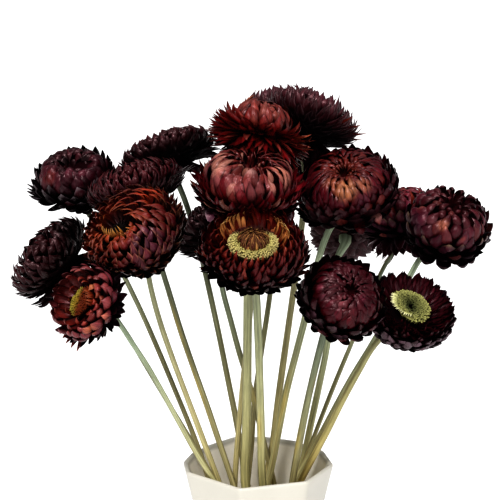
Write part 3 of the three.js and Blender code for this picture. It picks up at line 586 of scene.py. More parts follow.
def paint(keys, edge=None, edge_from=0.72, edge_amount=0.5, spread=0.3, odd=None, zones=(), tip_from=.68, line=None, gain=1.0):
    """Colour of a bract by layer: keys (layer, colour at the foot, on the shoulder, at the tip), where darker feet are
    painted shade where the bract tucks under its neighbours. edge darkens its sides with painted shade or lights them
    with a painted highlight. line is a painted highlight, a thin line along the tip: (colour, first layer, last layer)."""
    ks = np.array([k[0] for k in keys])
    tab = np.array([[srgb(v) for v in k[1:]] for k in keys]) * gain

    def look(T, S):
        st = [np.stack([np.interp(T, ks, tab[:, j, c]) for c in range(3)], -1) for j in range(3)]
        # from foot to shoulder: the darker foot colours are painted shade where the bract lies under its neighbours
        a = np.clip((S - 0.20) / 0.40, 0, 1)[..., None]
        b = np.clip((S - tip_from) / (0.98 - tip_from), 0, 1)[..., None]
        c = st[0] * (1 - a) + st[1] * a
        return c * (1 - b) + st[2] * b

    def colour(T, S, U, RN, RN2, X, n):
        c = look(T, S)
        c = c * (1 - spread + 2 * spread * RN)[..., None]
        if odd is not None:
            oc, share, amount = odd
            m = ((RN2 < share) * amount * smooth(S, 0.3, 0.6))[..., None]
            c = c * (1 - m) + srgb(oc) * m
        # colour round given points: painted highlights and painted shade, and some of the bracts' own colour
        for zc, centre, radius, amount in zones:
            d = np.linalg.norm(X - np.asarray(centre, float), axis=-1)
            m = (amount * (1 - smooth(d, radius * 0.4, radius)) * smooth(S, 0.25, 0.6))[..., None]
            c = c * (1 - m) + srgb(zc) * m * (1 - spread + 2 * spread * RN)[..., None]
        # painted shade along the bract's sides where the edge colour is dark, a painted highlight where it is pale
        if edge is not None:
            e = (smooth(np.abs(U), edge_from, 1.0) * smooth(S, 0.3, 0.6) * edge_amount * (0.3 + 1.4 * RN2))[..., None]
            e = np.clip(e, 0, 1)
            c = c * (1 - e) + srgb(edge) * e
        # a painted highlight along the tips of some layers
        if line is not None:
            on = (T > line[1]) & (T < line[2])
            e = (np.maximum(smooth(S, 0.88, 0.97), .45 * smooth(np.abs(U), .9, 1) * smooth(S, .6, .8)) * on * (0.2 + 0.8 * RN))[..., None]
            c = c * (1 - e) + srgb(line[0]) * e
        return c
    return colour


# Palettes by layer. In most of them the feet are painted shade, and the outermost layers (the underside) fade to near
# black as painted shade; dark edge colours are painted shade between the bracts and pale edge colours are painted
# highlights.
P_DARK = paint([(0, "180105", "2c0409", "44181f"), (.3, "120104", "240308", "3c181d"), (.56, "0a0002", "180206", "22090d"),
                (.7, "060002", "0e0308", "120609"), (.85, "030001", "060202", "080304"), (1, "020000", "030101", "020000")],
               # the zone paints the right side of head 5 near black: painted shade
               edge="5a3a44", edge_amount=.08, tip_from=.84, gain=.8, zones=[("020000", near(5, -20, 1.0, .0), 17, .95)])
P_DARK2 = paint([(0, "160106", "300409", "6a343c"), (.3, "120104", "260308", "50242a"), (.56, "080002", "160206", "241014"),
                 (.7, "050102", "0c0306", "100608"), (1, "020000", "030101", "020000")], edge="6a5058", edge_amount=.12, tip_from=.82)
P_BRUSH = paint([(0, "20020a", "40060c", "7c403e"), (.3, "1a0208", "38060c", "6c3434"), (.5, "140206", "2a050a", "4a282c"),
                 (.66, "0a0104", "180308", "1c0c0c"), (.85, "030001", "070203", "050103"), (1, "020000", "030101", "020000")],
                edge="8a5c60", edge_amount=.15, tip_from=.82)
P_WINE = paint([(0, "28050a", "3a0c12", "2e080e"), (.30, "2a060c", "42131b", "3c1016"), (.5, "2c0812", "461722", "3c121c"),
                (.75, "2c0914", "441724", "36101c"), (.79, "1e0510", "38141e", "301018"), (.88, "10030a", "220c16", "1c0a14"),
                (1, "020000", "0a0304", "020000")],
               # the dark edge is painted shade between the bracts, and the line is a painted highlight along the
               # skirt's tips
               edge="0c0104", edge_from=.66, edge_amount=.95, odd=("603028", .12, .35), line=("6a5c48", .77, .84), gain=1.12,
               # zones: painted highlights on the bulges of head 12, with a dark patch at the upper right and a purple
               # patch on the left
               zones=[("a06450", spot(12, -.16, .0, .58), 3.6, .75), ("8c5044", spot(12, -.59, .37, .52), 3.4, .65),
                      ("8c4840", spot(12, .27, -.36, .44), 3.6, .65), ("74484c", spot(12, -.42, .10, .52), 3.4, .5),
                      ("38202c", spot(12, -.80, .06, .36), 6.0, .5), ("16040a", spot(12, .40, .46, .58), 9, .75)])
P_CUP = paint([(0, "14040a", "22070c", "1c060a"), (.34, "1a050c", "2e0912", "280810"), (.6, "1c050e", "300a16", "280912"),
               (.75, "1c050e", "2c0a14", "240810"), (.79, "0a0304", "160c12", "221a1e"), (.88, "080204", "12090e", "1c161a"),
               (1, "020000", "080406", "020000")],
              # the dark edge is painted shade between the bracts, and the grey line is a painted highlight along the
              # skirt's tips
              edge="0c0204", edge_from=.78, edge_amount=.8, line=("70666a", .77, .97), spread=.36, odd=("4c1a24", .16, .5),
              # zones: painted highlights on the ball of head 1, and in near black, painted shade in its pit and notch
              zones=[("6c2a28", spot(1, -.53, .05, .48), 5.0, .65), ("64303c", spot(1, -.06, .20, .64), 3.6, .55),
                     ("542632", spot(1, .28, .18, .60), 3.6, .5), ("040001", spot(1, -.16, .50, .56), 4.6, .95),
                     ("040001", spot(1, .24, .52, .56), 4.6, .95), ("040001", spot(1, .14, .33, .60), 1.8, .9)])
P_TOP = paint([(0, "240810", "48202a", "2c1016"), (.3, "1c060a", "401a20", "280e12"), (.56, "160408", "301016", "1c0a0c"),
               (.7, "0c0206", "1c0a10", "241014"), (.85, "060204", "0e0508", "10060a"), (1, "020000", "060203", "020000")],
              edge="8a7074", edge_amount=.16, tip_from=.80, gain=1.0)
P_EDGED = paint([(0, "080204", "120a0e", "2c2428"), (1, "080204", "120a0e", "2c2428")], edge="80767c", edge_from=.80, edge_amount=.6)
P_CRIM = paint([(0, "2c050c", "3c0a15", "360912"), (.3, "2c050c", "3e0b17", "360913"), (.5, "30060e", "420a17", "360812"),
                (.75, "34060e", "440814", "300710"), (.79, "1a040a", "2c0812", "1c0a10"), (.88, "0a0204", "18050b", "12080c"),
                (1, "020000", "060203", "020000")],
               # the line is a painted highlight along the skirt's tips
               edge="140306", edge_from=.80, edge_amount=.6, odd=("5c2a34", .10, .35), line=("5c4a50", .82, .93),
               # zones: painted highlights round the heart of head 14, and a crimson patch low on its front
               zones=[("8c5460", spot(14, -.44, .05, .50), 3.2, .5), ("946264", spot(14, -.02, -.04, .52), 3.4, .45),
                      ("783c4c", spot(14, .42, .0, .48), 3.2, .45), ("985864", spot(14, -.53, .31, .44), 2.6, .55),
                      ("500814", spot(14, .07, -.36, .36), 7, .4)])
P_RUFF = paint([(0, "48100c", "74322c", "54201c"), (.22, "480f0c", "743630", "5a241f"), (.42, "400c0c", "682c27", "4c1a18"),
                (.50, "480a0e", "701c1a", "5c1614"), (.66, "44080c", "741a18", "541010"), (.8, "3c060c", "681418", "440a0e"),
                (.9, "28040c", "480c12", "28060c"), (1, "100205", "200609", "100204")],
               edge="180306", edge_from=.76, edge_amount=.6, odd=("905448", .14, .35),
               # zones: painted light on the ruff's right side and a painted highlight on the dome of head 7
               zones=[("a85c3c", near(7, -14, .95, .1), 8, .85), ("b07050", near(7, 95, .40, .55), 4, .5)])
# the pale shoulder colours are painted highlights on the bracts' crowns, and the darker tips painted shade where they
# curl in
P_COPPER = paint([(0, "3c0a0a", "4c1614", "40100e"), (.3, "3c0b0b", "642824", "541e1c"), (.5, "400c0e", "7a3e3e", "5c2a28"),
                  (.70, "440c10", "844a4c", "582428"), (.76, "3c0810", "701a20", "5c121c"), (.82, "3c0810", "6c1620", "540e1a"),
                  (.89, "26050c", "4c0c18", "380814"), (.95, "10020a", "20060f", "14050c"), (1, "030001", "0a0304", "030001")],
                 edge="180406", edge_from=.74, edge_amount=.95, odd=("a47464", .18, .5),
                 # zones: painted shade at the top, painted highlights on the three bulges of head 9, painted shade
                 # along the pit and creases
                 zones=[("481814", spot(9, .05, .62, .50), 7, .7), ("bc8876", spot(9, -.55, .28, .52), 5.2, .7),
                        ("c89c94", spot(9, .03, .22, .62), 4.2, .65), ("b47460", spot(9, .58, .22, .52), 6.0, .65),
                        ("2c0608", spot(9, .10, .45, .56), 2.6, .85), ("3c0c0c", spot(9, -.27, .12, .58), 2.4, .8),
                        ("3c0c0c", spot(9, .32, .10, .58), 2.4, .8)])
P_HIGHLIT_CRIMSON = paint([(0, "340d08", "58200f", "44160c"), (.2, "380a0a", "541612", "44100f"), (.45, "36070c", "4c101a", "400e16"),
                (.70, "2c050c", "440c18", "380a14"), (.78, "1e030a", "380a14", "2c0812"), (.88, "0e0205", "240810", "1a060b"),
                (1, "020000", "0c0304", "030001")],
               # the line is a painted highlight along the tips of some layers
               edge="160306", edge_from=.76, edge_amount=.7, odd=("743028", .14, .4), line=("4c3238", .82, .93),
               # zones: painted highlights below the pit of head 11, painted shade in the pit, and a plum patch low on
               # the right
               zones=[("a4704c", spot(11, -.06, -.02, .54), 7.4, .62), ("945a40", spot(11, -.34, .06, .50), 5.0, .55),
                      ("9a644c", spot(11, .30, .07, .52), 5.0, .55), ("14160a", spot(11, -.10, .31, .50), 3.2, .9),
                      ("38202e", spot(11, .34, -.30, .40), 6.0, .7)])
P_HOT = paint([(0, "340e06", "6a2c12", "a86a34"), (.1, "340a06", "7c2c12", "8c4420"), (.25, "2c0508", "6a1e16", "702a1c"),
               (.46, "240408", "4c0e12", "601e18"), (.62, "1c030a", "380810", "400e14"), (.76, "0c0206", "24060e", "160408"),
               (.86, "060103", "0e0308", "080305"), (1, "020000", "080203", "030001")], gain=.80,
              # the pale edge is a painted highlight along the bracts' sides
              edge="d09070", edge_from=.78, edge_amount=.2,
              zones=[("d0984c", spot(4, -.20, .10, .30), 5.5, .8), ("42202e", spot(4, .30, -.10, .30), 11, .9),
                     # the orange zone on the left of head 4 is painted light where the key falls; the purple zones are
                     # the scales' own colour
                     ("42202e", spot(4, .10, -.36, .25), 9, .8), ("a44c2c", near(4, 190, .62, .35), 11, .5),
                     ("a83c1c", near(4, 62, .75, .4), 9, .6)])
P_HOT6 = paint([(0, "3a100a", "7a2c14", "8a4a2c"), (.15, "340a08", "742618", "7c3424"), (.35, "30060a", "702c2a", "84443e"),
                (.52, "28060c", "6c3234", "683236"), (.66, "180308", "54202c", "44181e"), (.78, "0a0206", "1c0810", "10040a"),
                (1, "020000", "0c0304", "030001")],
               edge="140305", edge_from=.74, edge_amount=.75,
               # zones: a dark patch on the left, then painted highlights in peach, orange and gold on head 6
               zones=[("2c0608", near(6, 160, .62, .25), 9, .8), ("b8705c", spot(6, .46, -.30, .34), 5, .65),
                      ("b06a4c", spot(6, .10, -.62, .30), 4.5, .6), ("a8704c", spot(6, .06, .46, .30), 4.0, .6),
                      ("8c4c2c", spot(6, .30, .16, .30), 4.0, .5), ("3c2830", spot(6, .75, -.45, .10), 5, .7)])
P_RING = paint([(0, "48140a", "84401f", "b07a46"), (.18, "38100a", "601a12", "74361f"), (.34, "30080a", "541010", "5c1c18"),
                (.5, "28060a", "4c0c12", "4c1614"), (.66, "1c030a", "380810", "280a0c"), (.78, "0a0104", "18040c", "0c0305"),
                (1, "020000", "080203", "030001")],
               edge="140306", edge_from=.72, edge_amount=.7, odd=("8c4634", .09, .4), gain=.95,
               # zones: the golden fans of head 10 in their own colour, painted brighter as painted light over the shade
               # they stand in
               zones=[("d09c60", spot(10, -.30, .40, .36), 5.0, .85), ("d09c60", spot(10, .50, .38, .36), 6.0, .8)])
P_RING15 = paint([(0, "2c0a12", "40141e", "441a18"), (.3, "24060e", "3c0e18", "3c1018"), (.54, "20050e", "3a0e18", "361218"),
                  (.60, "0c0208", "2a0e18", "2c141c"), (.68, "0c0308", "4c363e", "584850"), (.84, "080206", "44343a", "4c4046"),
                  (.93, "040102", "140a10", "100a0c"), (1, "020000", "0c0608", "040102")],
                 edge="080204", edge_from=.76, edge_amount=.85)
P_CREAM = paint([(0, "4a4a20", "a8a868", "e8e4b8"), (1, "4a4a20", "a8a868", "e8e4b8")], edge="e8e4b8", edge_from=.4, edge_amount=.5)

LOOSE = (.24, -.22, .80, -.32, 1.08, -.20, 1.14, -.02)
HANG = (.24, -.20, .74, -.28, 1.00, -.16, 1.02, -.40)
SPREAD = (.24, -.24, .70, -.36, 1.00, -.28, 1.20, -.16)
P_PURPLE = paint([(0, "1c050c", "4c2030", "6a4a56"), (1, "1c050c", "4c2030", "6a4a56")], edge="b0a0a4", edge_from=.6, edge_amount=.5)
P_BLOOD = paint([(0, "30060a", "541018", "3c0c12"), (1, "30060a", "541018", "3c0c12")], edge="1a0306", edge_amount=.5)
# near black: painted shade on bracts under and beside the heads, with a painted highlight along their sides
P_BLACK = paint([(0, "0a0205", "1c0a12", "100509"), (1, "0a0205", "1c0a12", "100509")], edge="4a3a42", edge_from=.75, edge_amount=.5)
# the pale shoulder colour is a painted highlight
P_PALE = paint([(0, "4a1016", "906460", "5c2420"), (1, "4a1016", "906460", "5c2420")], edge="3a0c12", edge_from=.5, edge_amount=.5)
P_REDTIP = paint([(0, "30060a", "54120e", "7a2c16"), (1, "30060a", "54120e", "7a2c16")], edge="1a0306", edge_amount=.5)


def row_of(dirs, prof, W, blunt=2.0, cup=.2, t=.9):
    return [(d, t, prof, W, blunt, cup) for d in dirs]


def inward(i, mm):
    return tuple(-mm * unit(FLOWERS[i]["n"]))


def swell(i, deg, mm):
    """Outward and up from the head's heart, toward a picture direction."""
    n = unit(FLOWERS[i]["n"])
    d = clock(deg)
    return tuple(mm * unit(unit(d - n * (d @ n)) + n))


def crease(i, steps, mm=2.0, r=2.6):
    """A fold in a ball of bracts, along places given as (picture angle, out, up)."""
    return [(near(i, *q), r, inward(i, mm)) for q in steps]


BACK = (.16, -.34, .44, -.56, .66, -.70, .80, -.84)
ROUND2 = [unit(math.cos(math.radians(a)) * RIGHT + math.sin(math.radians(a)) * np.array([0, 1.0, 0])) for a in range(0, 360, 13)]
ROUND = [unit(math.cos(math.radians(a)) * RIGHT + math.sin(math.radians(a)) * np.array([0, 1.0, 0])) for a in range(0, 360, 26)]
P_DIM = paint([(0, "10040a", "24090f", "1c0c10"), (1, "0c0206", "1c080e", "180a10")], edge="5a444c", edge_from=.8, edge_amount=.35)


def brighter(look, *k):
    """The colours of look times k, one number or one each for red, green and blue."""
    return lambda *a: np.clip(look(*a) * k, 0, 1)


# gold brightened as painted light over the shade the fans of head 10 stand in; their dark sides are painted shade
# between them
P_BRASS = paint([(0, "6a2410", "d89c60", "f8d490"), (1, "6a2410", "d89c60", "f8d490")], edge="5c180a", edge_from=.4, edge_amount=.95)
P_SKIRT = paint([(0, "34060c", "6a1a20", "541018"), (1, "34060c", "6a1a20", "541018")], edge="1c0408", edge_from=.7, edge_amount=.8,
                odd=("844840", .2, .4))
P_AMBER = paint([(0, "2c0a06", "6a2a14", "8e4e26"), (1, "2c0a06", "6a2a14", "8e4e26")], edge="3c0f06", edge_from=.5, edge_amount=.7)
P_WHISK = paint([(0, "3a3430", "a8a090", "c8c0b0"), (1, "3a3430", "a8a090", "c8c0b0")])
P_LOW = paint([(0, "10040a", "4a1c28", "401a22"), (1, "10040a", "4a1c28", "401a22")], edge="a8949c", edge_from=.8, edge_amount=.55)
P_GOLD = paint([(0, "541808", "a06a38", "c49858"), (1, "541808", "a06a38", "c49858")], edge="5c200c", edge_from=.6, edge_amount=.6)
# near black: painted shade, for bracts that lie under and behind the heads
P_DEEP = paint([(0, "0a0103", "16050a", "0c0306"), (1, "0a0103", "16050a", "0c0306")], edge="2c1a20", edge_from=.8, edge_amount=.3)
OPENED = (.46, .02, .62, .10, .78, .34, .60, .46)
SPEC = {
    1: dict(rows=dome(.36, length=1.0, cup=.22, a=.885, b=.41, z0=.25, reach=48, heart=.5, bulge=.11), count=140, colour=P_CUP, nu=9, ns=14,
            power=1, share=.40,
            push=[(spot(1, -.12, .50, .62), 4.6, inward(1, 6.5)), (spot(1, .24, .50, .62), 4.6, inward(1, 6.5)),
                  (spot(1, .14, .34, .66), 2.2, inward(1, 2.6)), (spot(1, -.08, .16, .66), 3.6, swell(1, 270, 1.6))],
            extra=[(row_of([clock(a) for a in (176, 188, 196, 206, 216, 226)], (.24, -.24, .80, -.34, 1.10, -.12, 1.22, .06), .17, 1.6), P_EDGED),
                   (row_of([clock(a) for a in (150, 158, 166, 174)], (.30, -.14, .90, -.06, .98, .22, .92, .42), .15, 1.6), P_EDGED),
                   (row_of([clock(a) for a in (60, 74, 88, 102, 40, 20, 2)], (.30, -.14, .98, -.06, 1.06, .22, .98, .44), .24, 2.0), P_DEEP),
                   (row_of([clock(a) for a in (290, 305, 320, 335)], (.20, -.30, .60, -.60, .90, -.56, 1.0, -.34), .30, 2.0), P_DEEP)]),
    2: dict(matte_from=.58, rows=cushion(.21, b=.31, rim=.09, off=.07, tip=1.5), count=240, colour=brighter(P_DARK2, .84, .72, .75), power=1, lean=[(clock(0), .10, .5, .9)],
            extra=[(row_of([clock(a) for a in (-8, -24, -40, -56, -72)], (.24, -.24, .76, -.36, 1.02, -.40, 1.04, -.56), .26, 1.7), P_DEEP),
                   (row_of([unit(clock(0) + FRONT * b) for b in (-.9, -.5, -.1, .3, .7)], (.24, -.24, .76, -.30, 1.04, -.28, 1.10, -.36), .24, 1.6), P_DEEP),
                   (row_of([unit(clock(0) + FRONT * b) for b in (-.8, -.4, 0, .4, .9, 1.6, 3)], (.16, -.30, .40, -.46, .56, -.56, .66, -.66), .30, 1.9), P_DEEP)]),
    3: dict(matte_from=.70, rows=cushion(.13, b=.42, length=.36, rim=.08, off=.07), count=420, colour=brighter(P_BRUSH, .76, .66, .76), power=1,
            push=[(near(3, 100, .95, .2), 7, (0, 0, -3.0))],
            extra=[(row_of([unit(clock(0) + FRONT * b) for b in (-1.2, -.8, -.5, -.2, .1, .4, .8)], (.30, -.10, .80, -.06, 1.08, .02, 1.26, .06), .16, 1.5), P_DARK2)]),
    4: dict(rows=OPEN4, count=380, colour=P_HOT, wide=[(clock(315), .7, .2, 1)], swirl=.12, lean=[(clock(310), -.20, 0, .34)],
            push=[(near(4, 0, 0, .2), 14.0, tuple(-7.6 * clock(0) + 2.6 * clock(90))), (near(4, 268, .95, -.1), 12.0, tuple(3.8 * clock(90)))],
            extra=[(row_of([clock(a) for a in (214, 224, 233, 241, 249, 257, 265, 273, 281, 290, 300, 312)],
                           (.16, .04, .28, .18, .33, .38, .22, .58), .062, 1.4), P_GOLD)]),
    5: dict(matte_from=.66, rows=cushion(.19, b=.45, rim=.09, off=.06), count=270, colour=brighter(P_DARK, 1.0, .66, .74), power=1,
            push=[(near(5, 231, 1.0, -.1), 10.0, tuple(3.4 * clock(48)))],
            extra=[(row_of([unit(clock(300) + FRONT * b) for b in (-2, -1, -.4, 0, .4, 1, 2)], (.20, -.30, .60, -.54, .84, -.52, .90, -.36), .34, 1.9), P_DEEP),
                   (row_of([unit(clock(270) + FRONT * b) for b in (-1, -.3, .3, 1)], (.20, -.30, .60, -.50, .84, -.44, .96, -.30), .28, 1.7), P_DEEP),
                   (row_of(ROUND, (.16, -.34, .44, -.52, .62, -.62, .74, -.72), .42, 2.0), P_DEEP),
                   (row_of([clock(a) for a in (28, 40, 52, 64, 76)], (.30, -.30, .80, -.34, 1.06, -.22, 1.18, -.08), .26, 1.6), P_DEEP)]),
    6: dict(rows=OPEN6, count=124, colour=P_HOT6, nu=7, ns=12, lean=[(clock(-10), -.34, 0, .42), (clock(165), .10, .2, .7)],
            extra=[(row_of([clock(a) for a in (84, 74, 65, 56, 47, 38, 28, 17, 5, -8, -20)], (.30, .02, .38, .12, .40, .26, .26, .38), .085, 1.5), P_AMBER),
                   (row_of([clock(a) for a in (198, 206, 214, 224, 238, 254)], (.22, -.22, .76, -.32, 1.08, -.22, 1.30, -.18), .20, 1.5), P_REDTIP),
                   (row_of([clock(a) for a in (34, 18, 2, -14, -30)], (.24, -.22, .76, -.34, 1.06, -.26, 1.24, -.20), .22, 1.5), P_BLACK),
                   (row_of([clock(a) for a in (168, 184, 200, 216)], SPREAD, .24, 1.7), P_REDTIP),
                   (row_of([clock(a) for a in (232, 262, 350)], SPREAD, .26, 1.5), P_BLACK)]),
    7: dict(rows=RUFF, count=350, colour=P_RUFF, power=1, share7=(.14, .47), nu=5, ns=12, jit=1.5, swirl=-.10, lean=[(FRONT, .22, .64, 1.01), (clock(0), .18, .5, .9)],
            push=[((-.5, -8.0, 303.0), 13.0, (0.0, 1.6, 4.2))],
            extra=[(row_of([d for d in ROUND if d @ FRONT < .45], (.10, -.36, .34, -.52, .52, -.66, .60, -.90), .36, 2.2), P_DEEP)]),
    8: dict(matte_from=.62, rows=cushion(.165, a=.88, b=.38, rim=.13, off=.14, tip=1.2), count=300, colour=P_TOP, power=1,
            extra=[(row_of([unit(clock(-50) + FRONT * b) for b in (-1, -.5, -.1, .3, .7, 1.2)], (.20, -.14, .70, -.16, 1.0, .0, 1.16, .12), .13, 1.5), P_REDTIP),
                   (row_of(ROUND, (.10, -.40, .34, -.58, .56, -.80, .66, -1.15), .42, 2.2), P_DEEP),
                   (row_of(ROUND[::2], (.14, -.40, .50, -.50, .84, -.66, .98, -.90), .42, 2.0), P_DEEP)]),
    9: dict(rows=dome(.27, length=.85, cup=.26, a=.89, b=.40, z0=.27, reach=36, heart=.36, bulge=.12, pit=(.16, .20), skirt=SKIRT9), count=230,
            colour=P_COPPER, nu=7, ns=14, power=1, share=.44, wide=[(clock(-15), -.40, 0, .76), (clock(90), -.35, 0, .76)],
            push=[(spot(9, -.55, .24, .54), 5.4, swell(9, 180, 2.4)), (spot(9, .03, .18, .62), 4.8, swell(9, 270, 2.6)),
                  (spot(9, .60, .20, .54), 6.0, swell(9, 0, 1.8))]
            + [(spot(9, *q), 2.4, inward(9, 3.0)) for q in ((.0, .42, .64), (-.15, .30, .64), (-.25, .15, .60), (-.30, -.03, .50),
                                                           (.22, .42, .63), (.31, .29, .61), (.36, .14, .57), (.38, -.03, .48))],
            extra=[(row_of([clock(a) for a in (218, 228, 237, 246, 255, 264, 273, 282, 291, 300, 310, 320)],
                           (.24, -.10, .86, -.06, 1.04, .20, .98, .48), .20, 1.7), P_SKIRT),
                   (row_of([clock(a) for a in (213, 224, 235, 246, 257, 268, 279, 290, 301, 312, 324)],
                           (.24, -.14, .88, -.16, 1.10, .06, 1.08, .30), .22, 1.6), P_SKIRT),
                   (row_of([unit(clock(0) + FRONT * b) for b in (-.6, -.2, .2, .6)], (.24, -.30, .66, -.50, .90, -.60, .98, -.72), .26, 2.0), P_DEEP),
                   (row_of([clock(a) for a in (238, 262, 300)], HANG, .34, 3.0, .24), P_PURPLE),
                   (row_of([clock(a) for a in (250, 276, 288, 312)], HANG, .30, 2.6, .24), P_BLOOD),
                   (row_of([clock(a) for a in (188, 198, 208)], (.24, -.24, .80, -.30, 1.06, -.10, 1.12, .06), .14, 1.4), P_BLACK)]),
    10: dict(rows=RING, count=380, colour=brighter(P_RING, 1.0, .88, .88), swirl=.08, push=[(near(10, 236, 1.0, -.25), 9.0, tuple(3.2 * clock(80)))],
             extra=[(row_of([clock(a) for a in (212, 228, 244, 258, 270, 282, 296, 312)], (.24, -.24, .74, -.28, .94, -.16, .99, -.20), .30, 2.0), P_DEEP),
                    (row_of([clock(a) for a in (100, 106, 112, 118, 124, 130, 137, 145, 62, 56, 50, 44, 38, 32, 25, 17)], OPENED, .078, 1.5), P_BRASS)]),
    11: dict(rows=dome(.185, length=.70, cup=.17, a=.93, b=.44, z0=.17, reach=20, skirt=HEM, heart=.42, pit=(.24, .20), bulge=.05), count=320,
             colour=P_HIGHLIT_CRIMSON, nu=6, ns=12, power=1, share=.68,
             extra=[(row_of([clock(a) for a in (194, 204, 214, 224, 235)], (.24, -.22, .84, -.40, 1.06, -.34, 1.12, -.22), .20, 2.4), P_BLACK),
                    (row_of([clock(302)], (.24, -.12, .84, -.24, 1.04, -.04, 1.04, -.30), .24, 3.2, .1), P_PALE),
                    (row_of([clock(a) for a in (285, 318)], HANG, .26, 3.0), P_BLOOD),
                    (row_of([clock(a) for a in (-12, 0, 12, 24, 36, 48, 60, 72)], (.24, -.20, .90, -.26, 1.12, -.06, 1.06, .18), .20, 2.6, .3), P_DEEP)]),
    12: dict(rows=dome(.40, length=.86, cup=.30, tip=3.0, a=.91, b=.50, z0=.22, reach=20, skirt=HEM, heart=.34, bulge=.15), count=112,
             colour=P_WINE, nu=9, ns=13, power=1, share=.54, wide=[(clock(45), -.50, 0, .76)],
             extra=[(row_of([clock(a) for a in (226, 244, 262, 284, 300)], (.20, -.26, .72, -.46, 1.04, -.56, 1.00, -.40), .34, 3.2, .3), P_BLACK),
                    (row_of([clock(a) for a in (25, 5, 345, 330)], (.24, -.22, .84, -.30, 1.10, -.12, 1.07, .12), .26, 2.4, .3), P_EDGED)]),
    13: dict(rows=dome(.30, length=.70, a=.92, b=.46, z0=.14, reach=24), count=130, colour=brighter(P_WINE, 2.1), nu=7, ns=12, power=1, share=.5,
             extra=[(row_of(ROUND2, (.16, -.34, .44, -.56, .72, -.66, .80, -.84), .32, 2.2), P_LOW),
                    (row_of(ROUND, (.16, -.34, .56, -.46, .90, -.46, .98, -.64), .34, 2.4), P_LOW),
                    (row_of([unit(clock(180) + FRONT * b) for b in (-.5, -.1, .3, .8)], (.20, -.40, .44, -.64, .68, -.78, .86, -.90), .26, 1.9), P_LOW),
                    (row_of([unit(clock(180) + FRONT * b) for b in (.1, .5, 1.0)], (.20, -.50, .40, -.86, .66, -1.10, 1.02, -1.06), .040, 1.3), P_WHISK),
                    (row_of([unit(clock(180) + FRONT * b) for b in (.3, .8)], (.20, -.50, .50, -.76, .82, -.98, 1.14, -.90), .040, 1.3), P_WHISK),
                    (row_of([unit(clock(a) + FRONT * b) for a, b in ((180, 1), (180, .5), (180, 0), (0, 1), (0, 2), (180, 2), (180, 4))],
                            (.30, -.10, .84, .00, .98, .40, .84, .72), .20, 1.4), P_REDTIP)]),
    14: dict(rows=dome(.27, length=.80, cup=.18, a=.88, b=.34, z0=.22, reach=40, skirt=HEM, heart=.40, pit=(.12, .12), bulge=.07), count=200,
             colour=brighter(P_CRIM, .84, .66, .72), nu=7, ns=13, power=1, share=.62, size=.97,
             extra=[(row_of([clock(a) for a in (168, 180, 192, 204)], LOOSE, .24, 1.8), P_EDGED),
                    (row_of([clock(a) for a in (235, 262, 285)], (.24, -.20, .78, -.32, 1.02, -.24, 1.00, -.10), .34, 3.2, .3), P_BLOOD),
                    (row_of([clock(a) for a in (-8, 6, 20, 34)], (.24, -.18, .92, -.22, 1.12, .0, 1.04, .22), .20, 3.0, .3), P_EDGED)]),
    15: dict(rows=DISH, count=330, colour=P_RING15, nu=6, share7=(.74, .58), size=.975,
             extra=[(row_of([clock(a) for a in range(150, 262, 5)], (.24, .14, .30, .28, .38, .37, .50, .35), .060, 1.1, .1), P_CREAM)]),
    16: dict(matte_from=.5, rows=cushion(.19, b=.58), count=240, colour=brighter(P_DARK, .6), power=1,
             extra=[(row_of([unit(clock(a) + FRONT * b) for a, b in ((150, 0), (160, .3), (172, .6), (184, .2), (150, -.5), (164, -.4))],
                            (.30, .00, .80, .12, 1.06, .34, 1.16, .60), .20, 1.5), P_DEEP)]),
    17: dict(matte_from=.98, rows=flatter(cushion(.24, a=.86, rim=.10, off=.09, tip=1.6), .8), count=190, colour=brighter(P_DIM, 1.25, .85, .9), power=1),
    18: dict(matte_from=.62, rows=cushion(.17, a=.88, b=.42, z0=.17, rim=.12, off=.14, tip=1.2), count=270, colour=P_TOP, power=1),
}

LIME, STRAW = srgb("a6a468"), srgb("c0b27c")
DISC_SPEC = {
    # disc 4 is near black: painted shade in the hole of head 4
    4: dict(r0=.02, r1=.17, h=1.0, w=.6, cin=srgb("0a0402"), cout=srgb("140804"), count=150, shift=(-7.0, 2.2)),
    6: dict(throat_shade=.5, r0=.04, r1=.35, h=2.0, w=.45, cin=srgb("8a6c22"), cout=srgb("948a3c"), count=620, shift=(-1.2, .2), painted_shade_side=(clock(-20), srgb("6a2c10"), -.40, .16),
            outline=((45, 1.22), (90, .98), (135, .72), (180, .86), (225, 1.16), (270, 1.0), (315, .76), (0, .95))),
    10: dict(r0=.24, r1=.45, h=2.2, w=.46, throat_shade=.6, cin=srgb("a49c5c"), cout=STRAW, count=1400, painted_shade_side=(clock(90), srgb("3a120c"), .30, .6)),
    # disc 11 is near black: painted shade in the pit of head 11
    11: dict(r0=.02, r1=.24, h=1.2, w=.7, cin=srgb("100f05"), cout=srgb("1c1c0a"), count=160),
    15: dict(throat_shade=.55, r0=.07, r1=.41, h=2.0, w=.46, cin=srgb("30361a"), cout=LIME, count=1400, shift=(.2, -.8),
             hole=((90, 1.3), (180, 1.4), (270, 1.7), (0, .40)),
             outline=((125, 1.24), (165, .80), (205, .70), (245, .84), (283, 1.18), (320, 1.04), (5, .96), (45, .94), (85, 1.06))),
}


# each head's heart: radius, lift, colour, then top and depth where given; the dark colours are painted shade behind the
# bracts
CORE = {4: (.66, -.04, "140303", .02), 6: (.62, -.02, "200808", .02), 10: (.66, -.04, "200608", .02), 15: (.72, -.06, "14050a", .02),
        1: (.76, .20, "1c050a"), 7: (.54, .0, "300608"), 9: (.76, .16, "300608"), 11: (.80, .12, "2c060a"), 12: (.78, .16, "240508"),
        13: (.76, .10, "1c050a"), 17: (.74, .0, "14040a", .20, .20), 14: (.76, .14, "2a050c")}


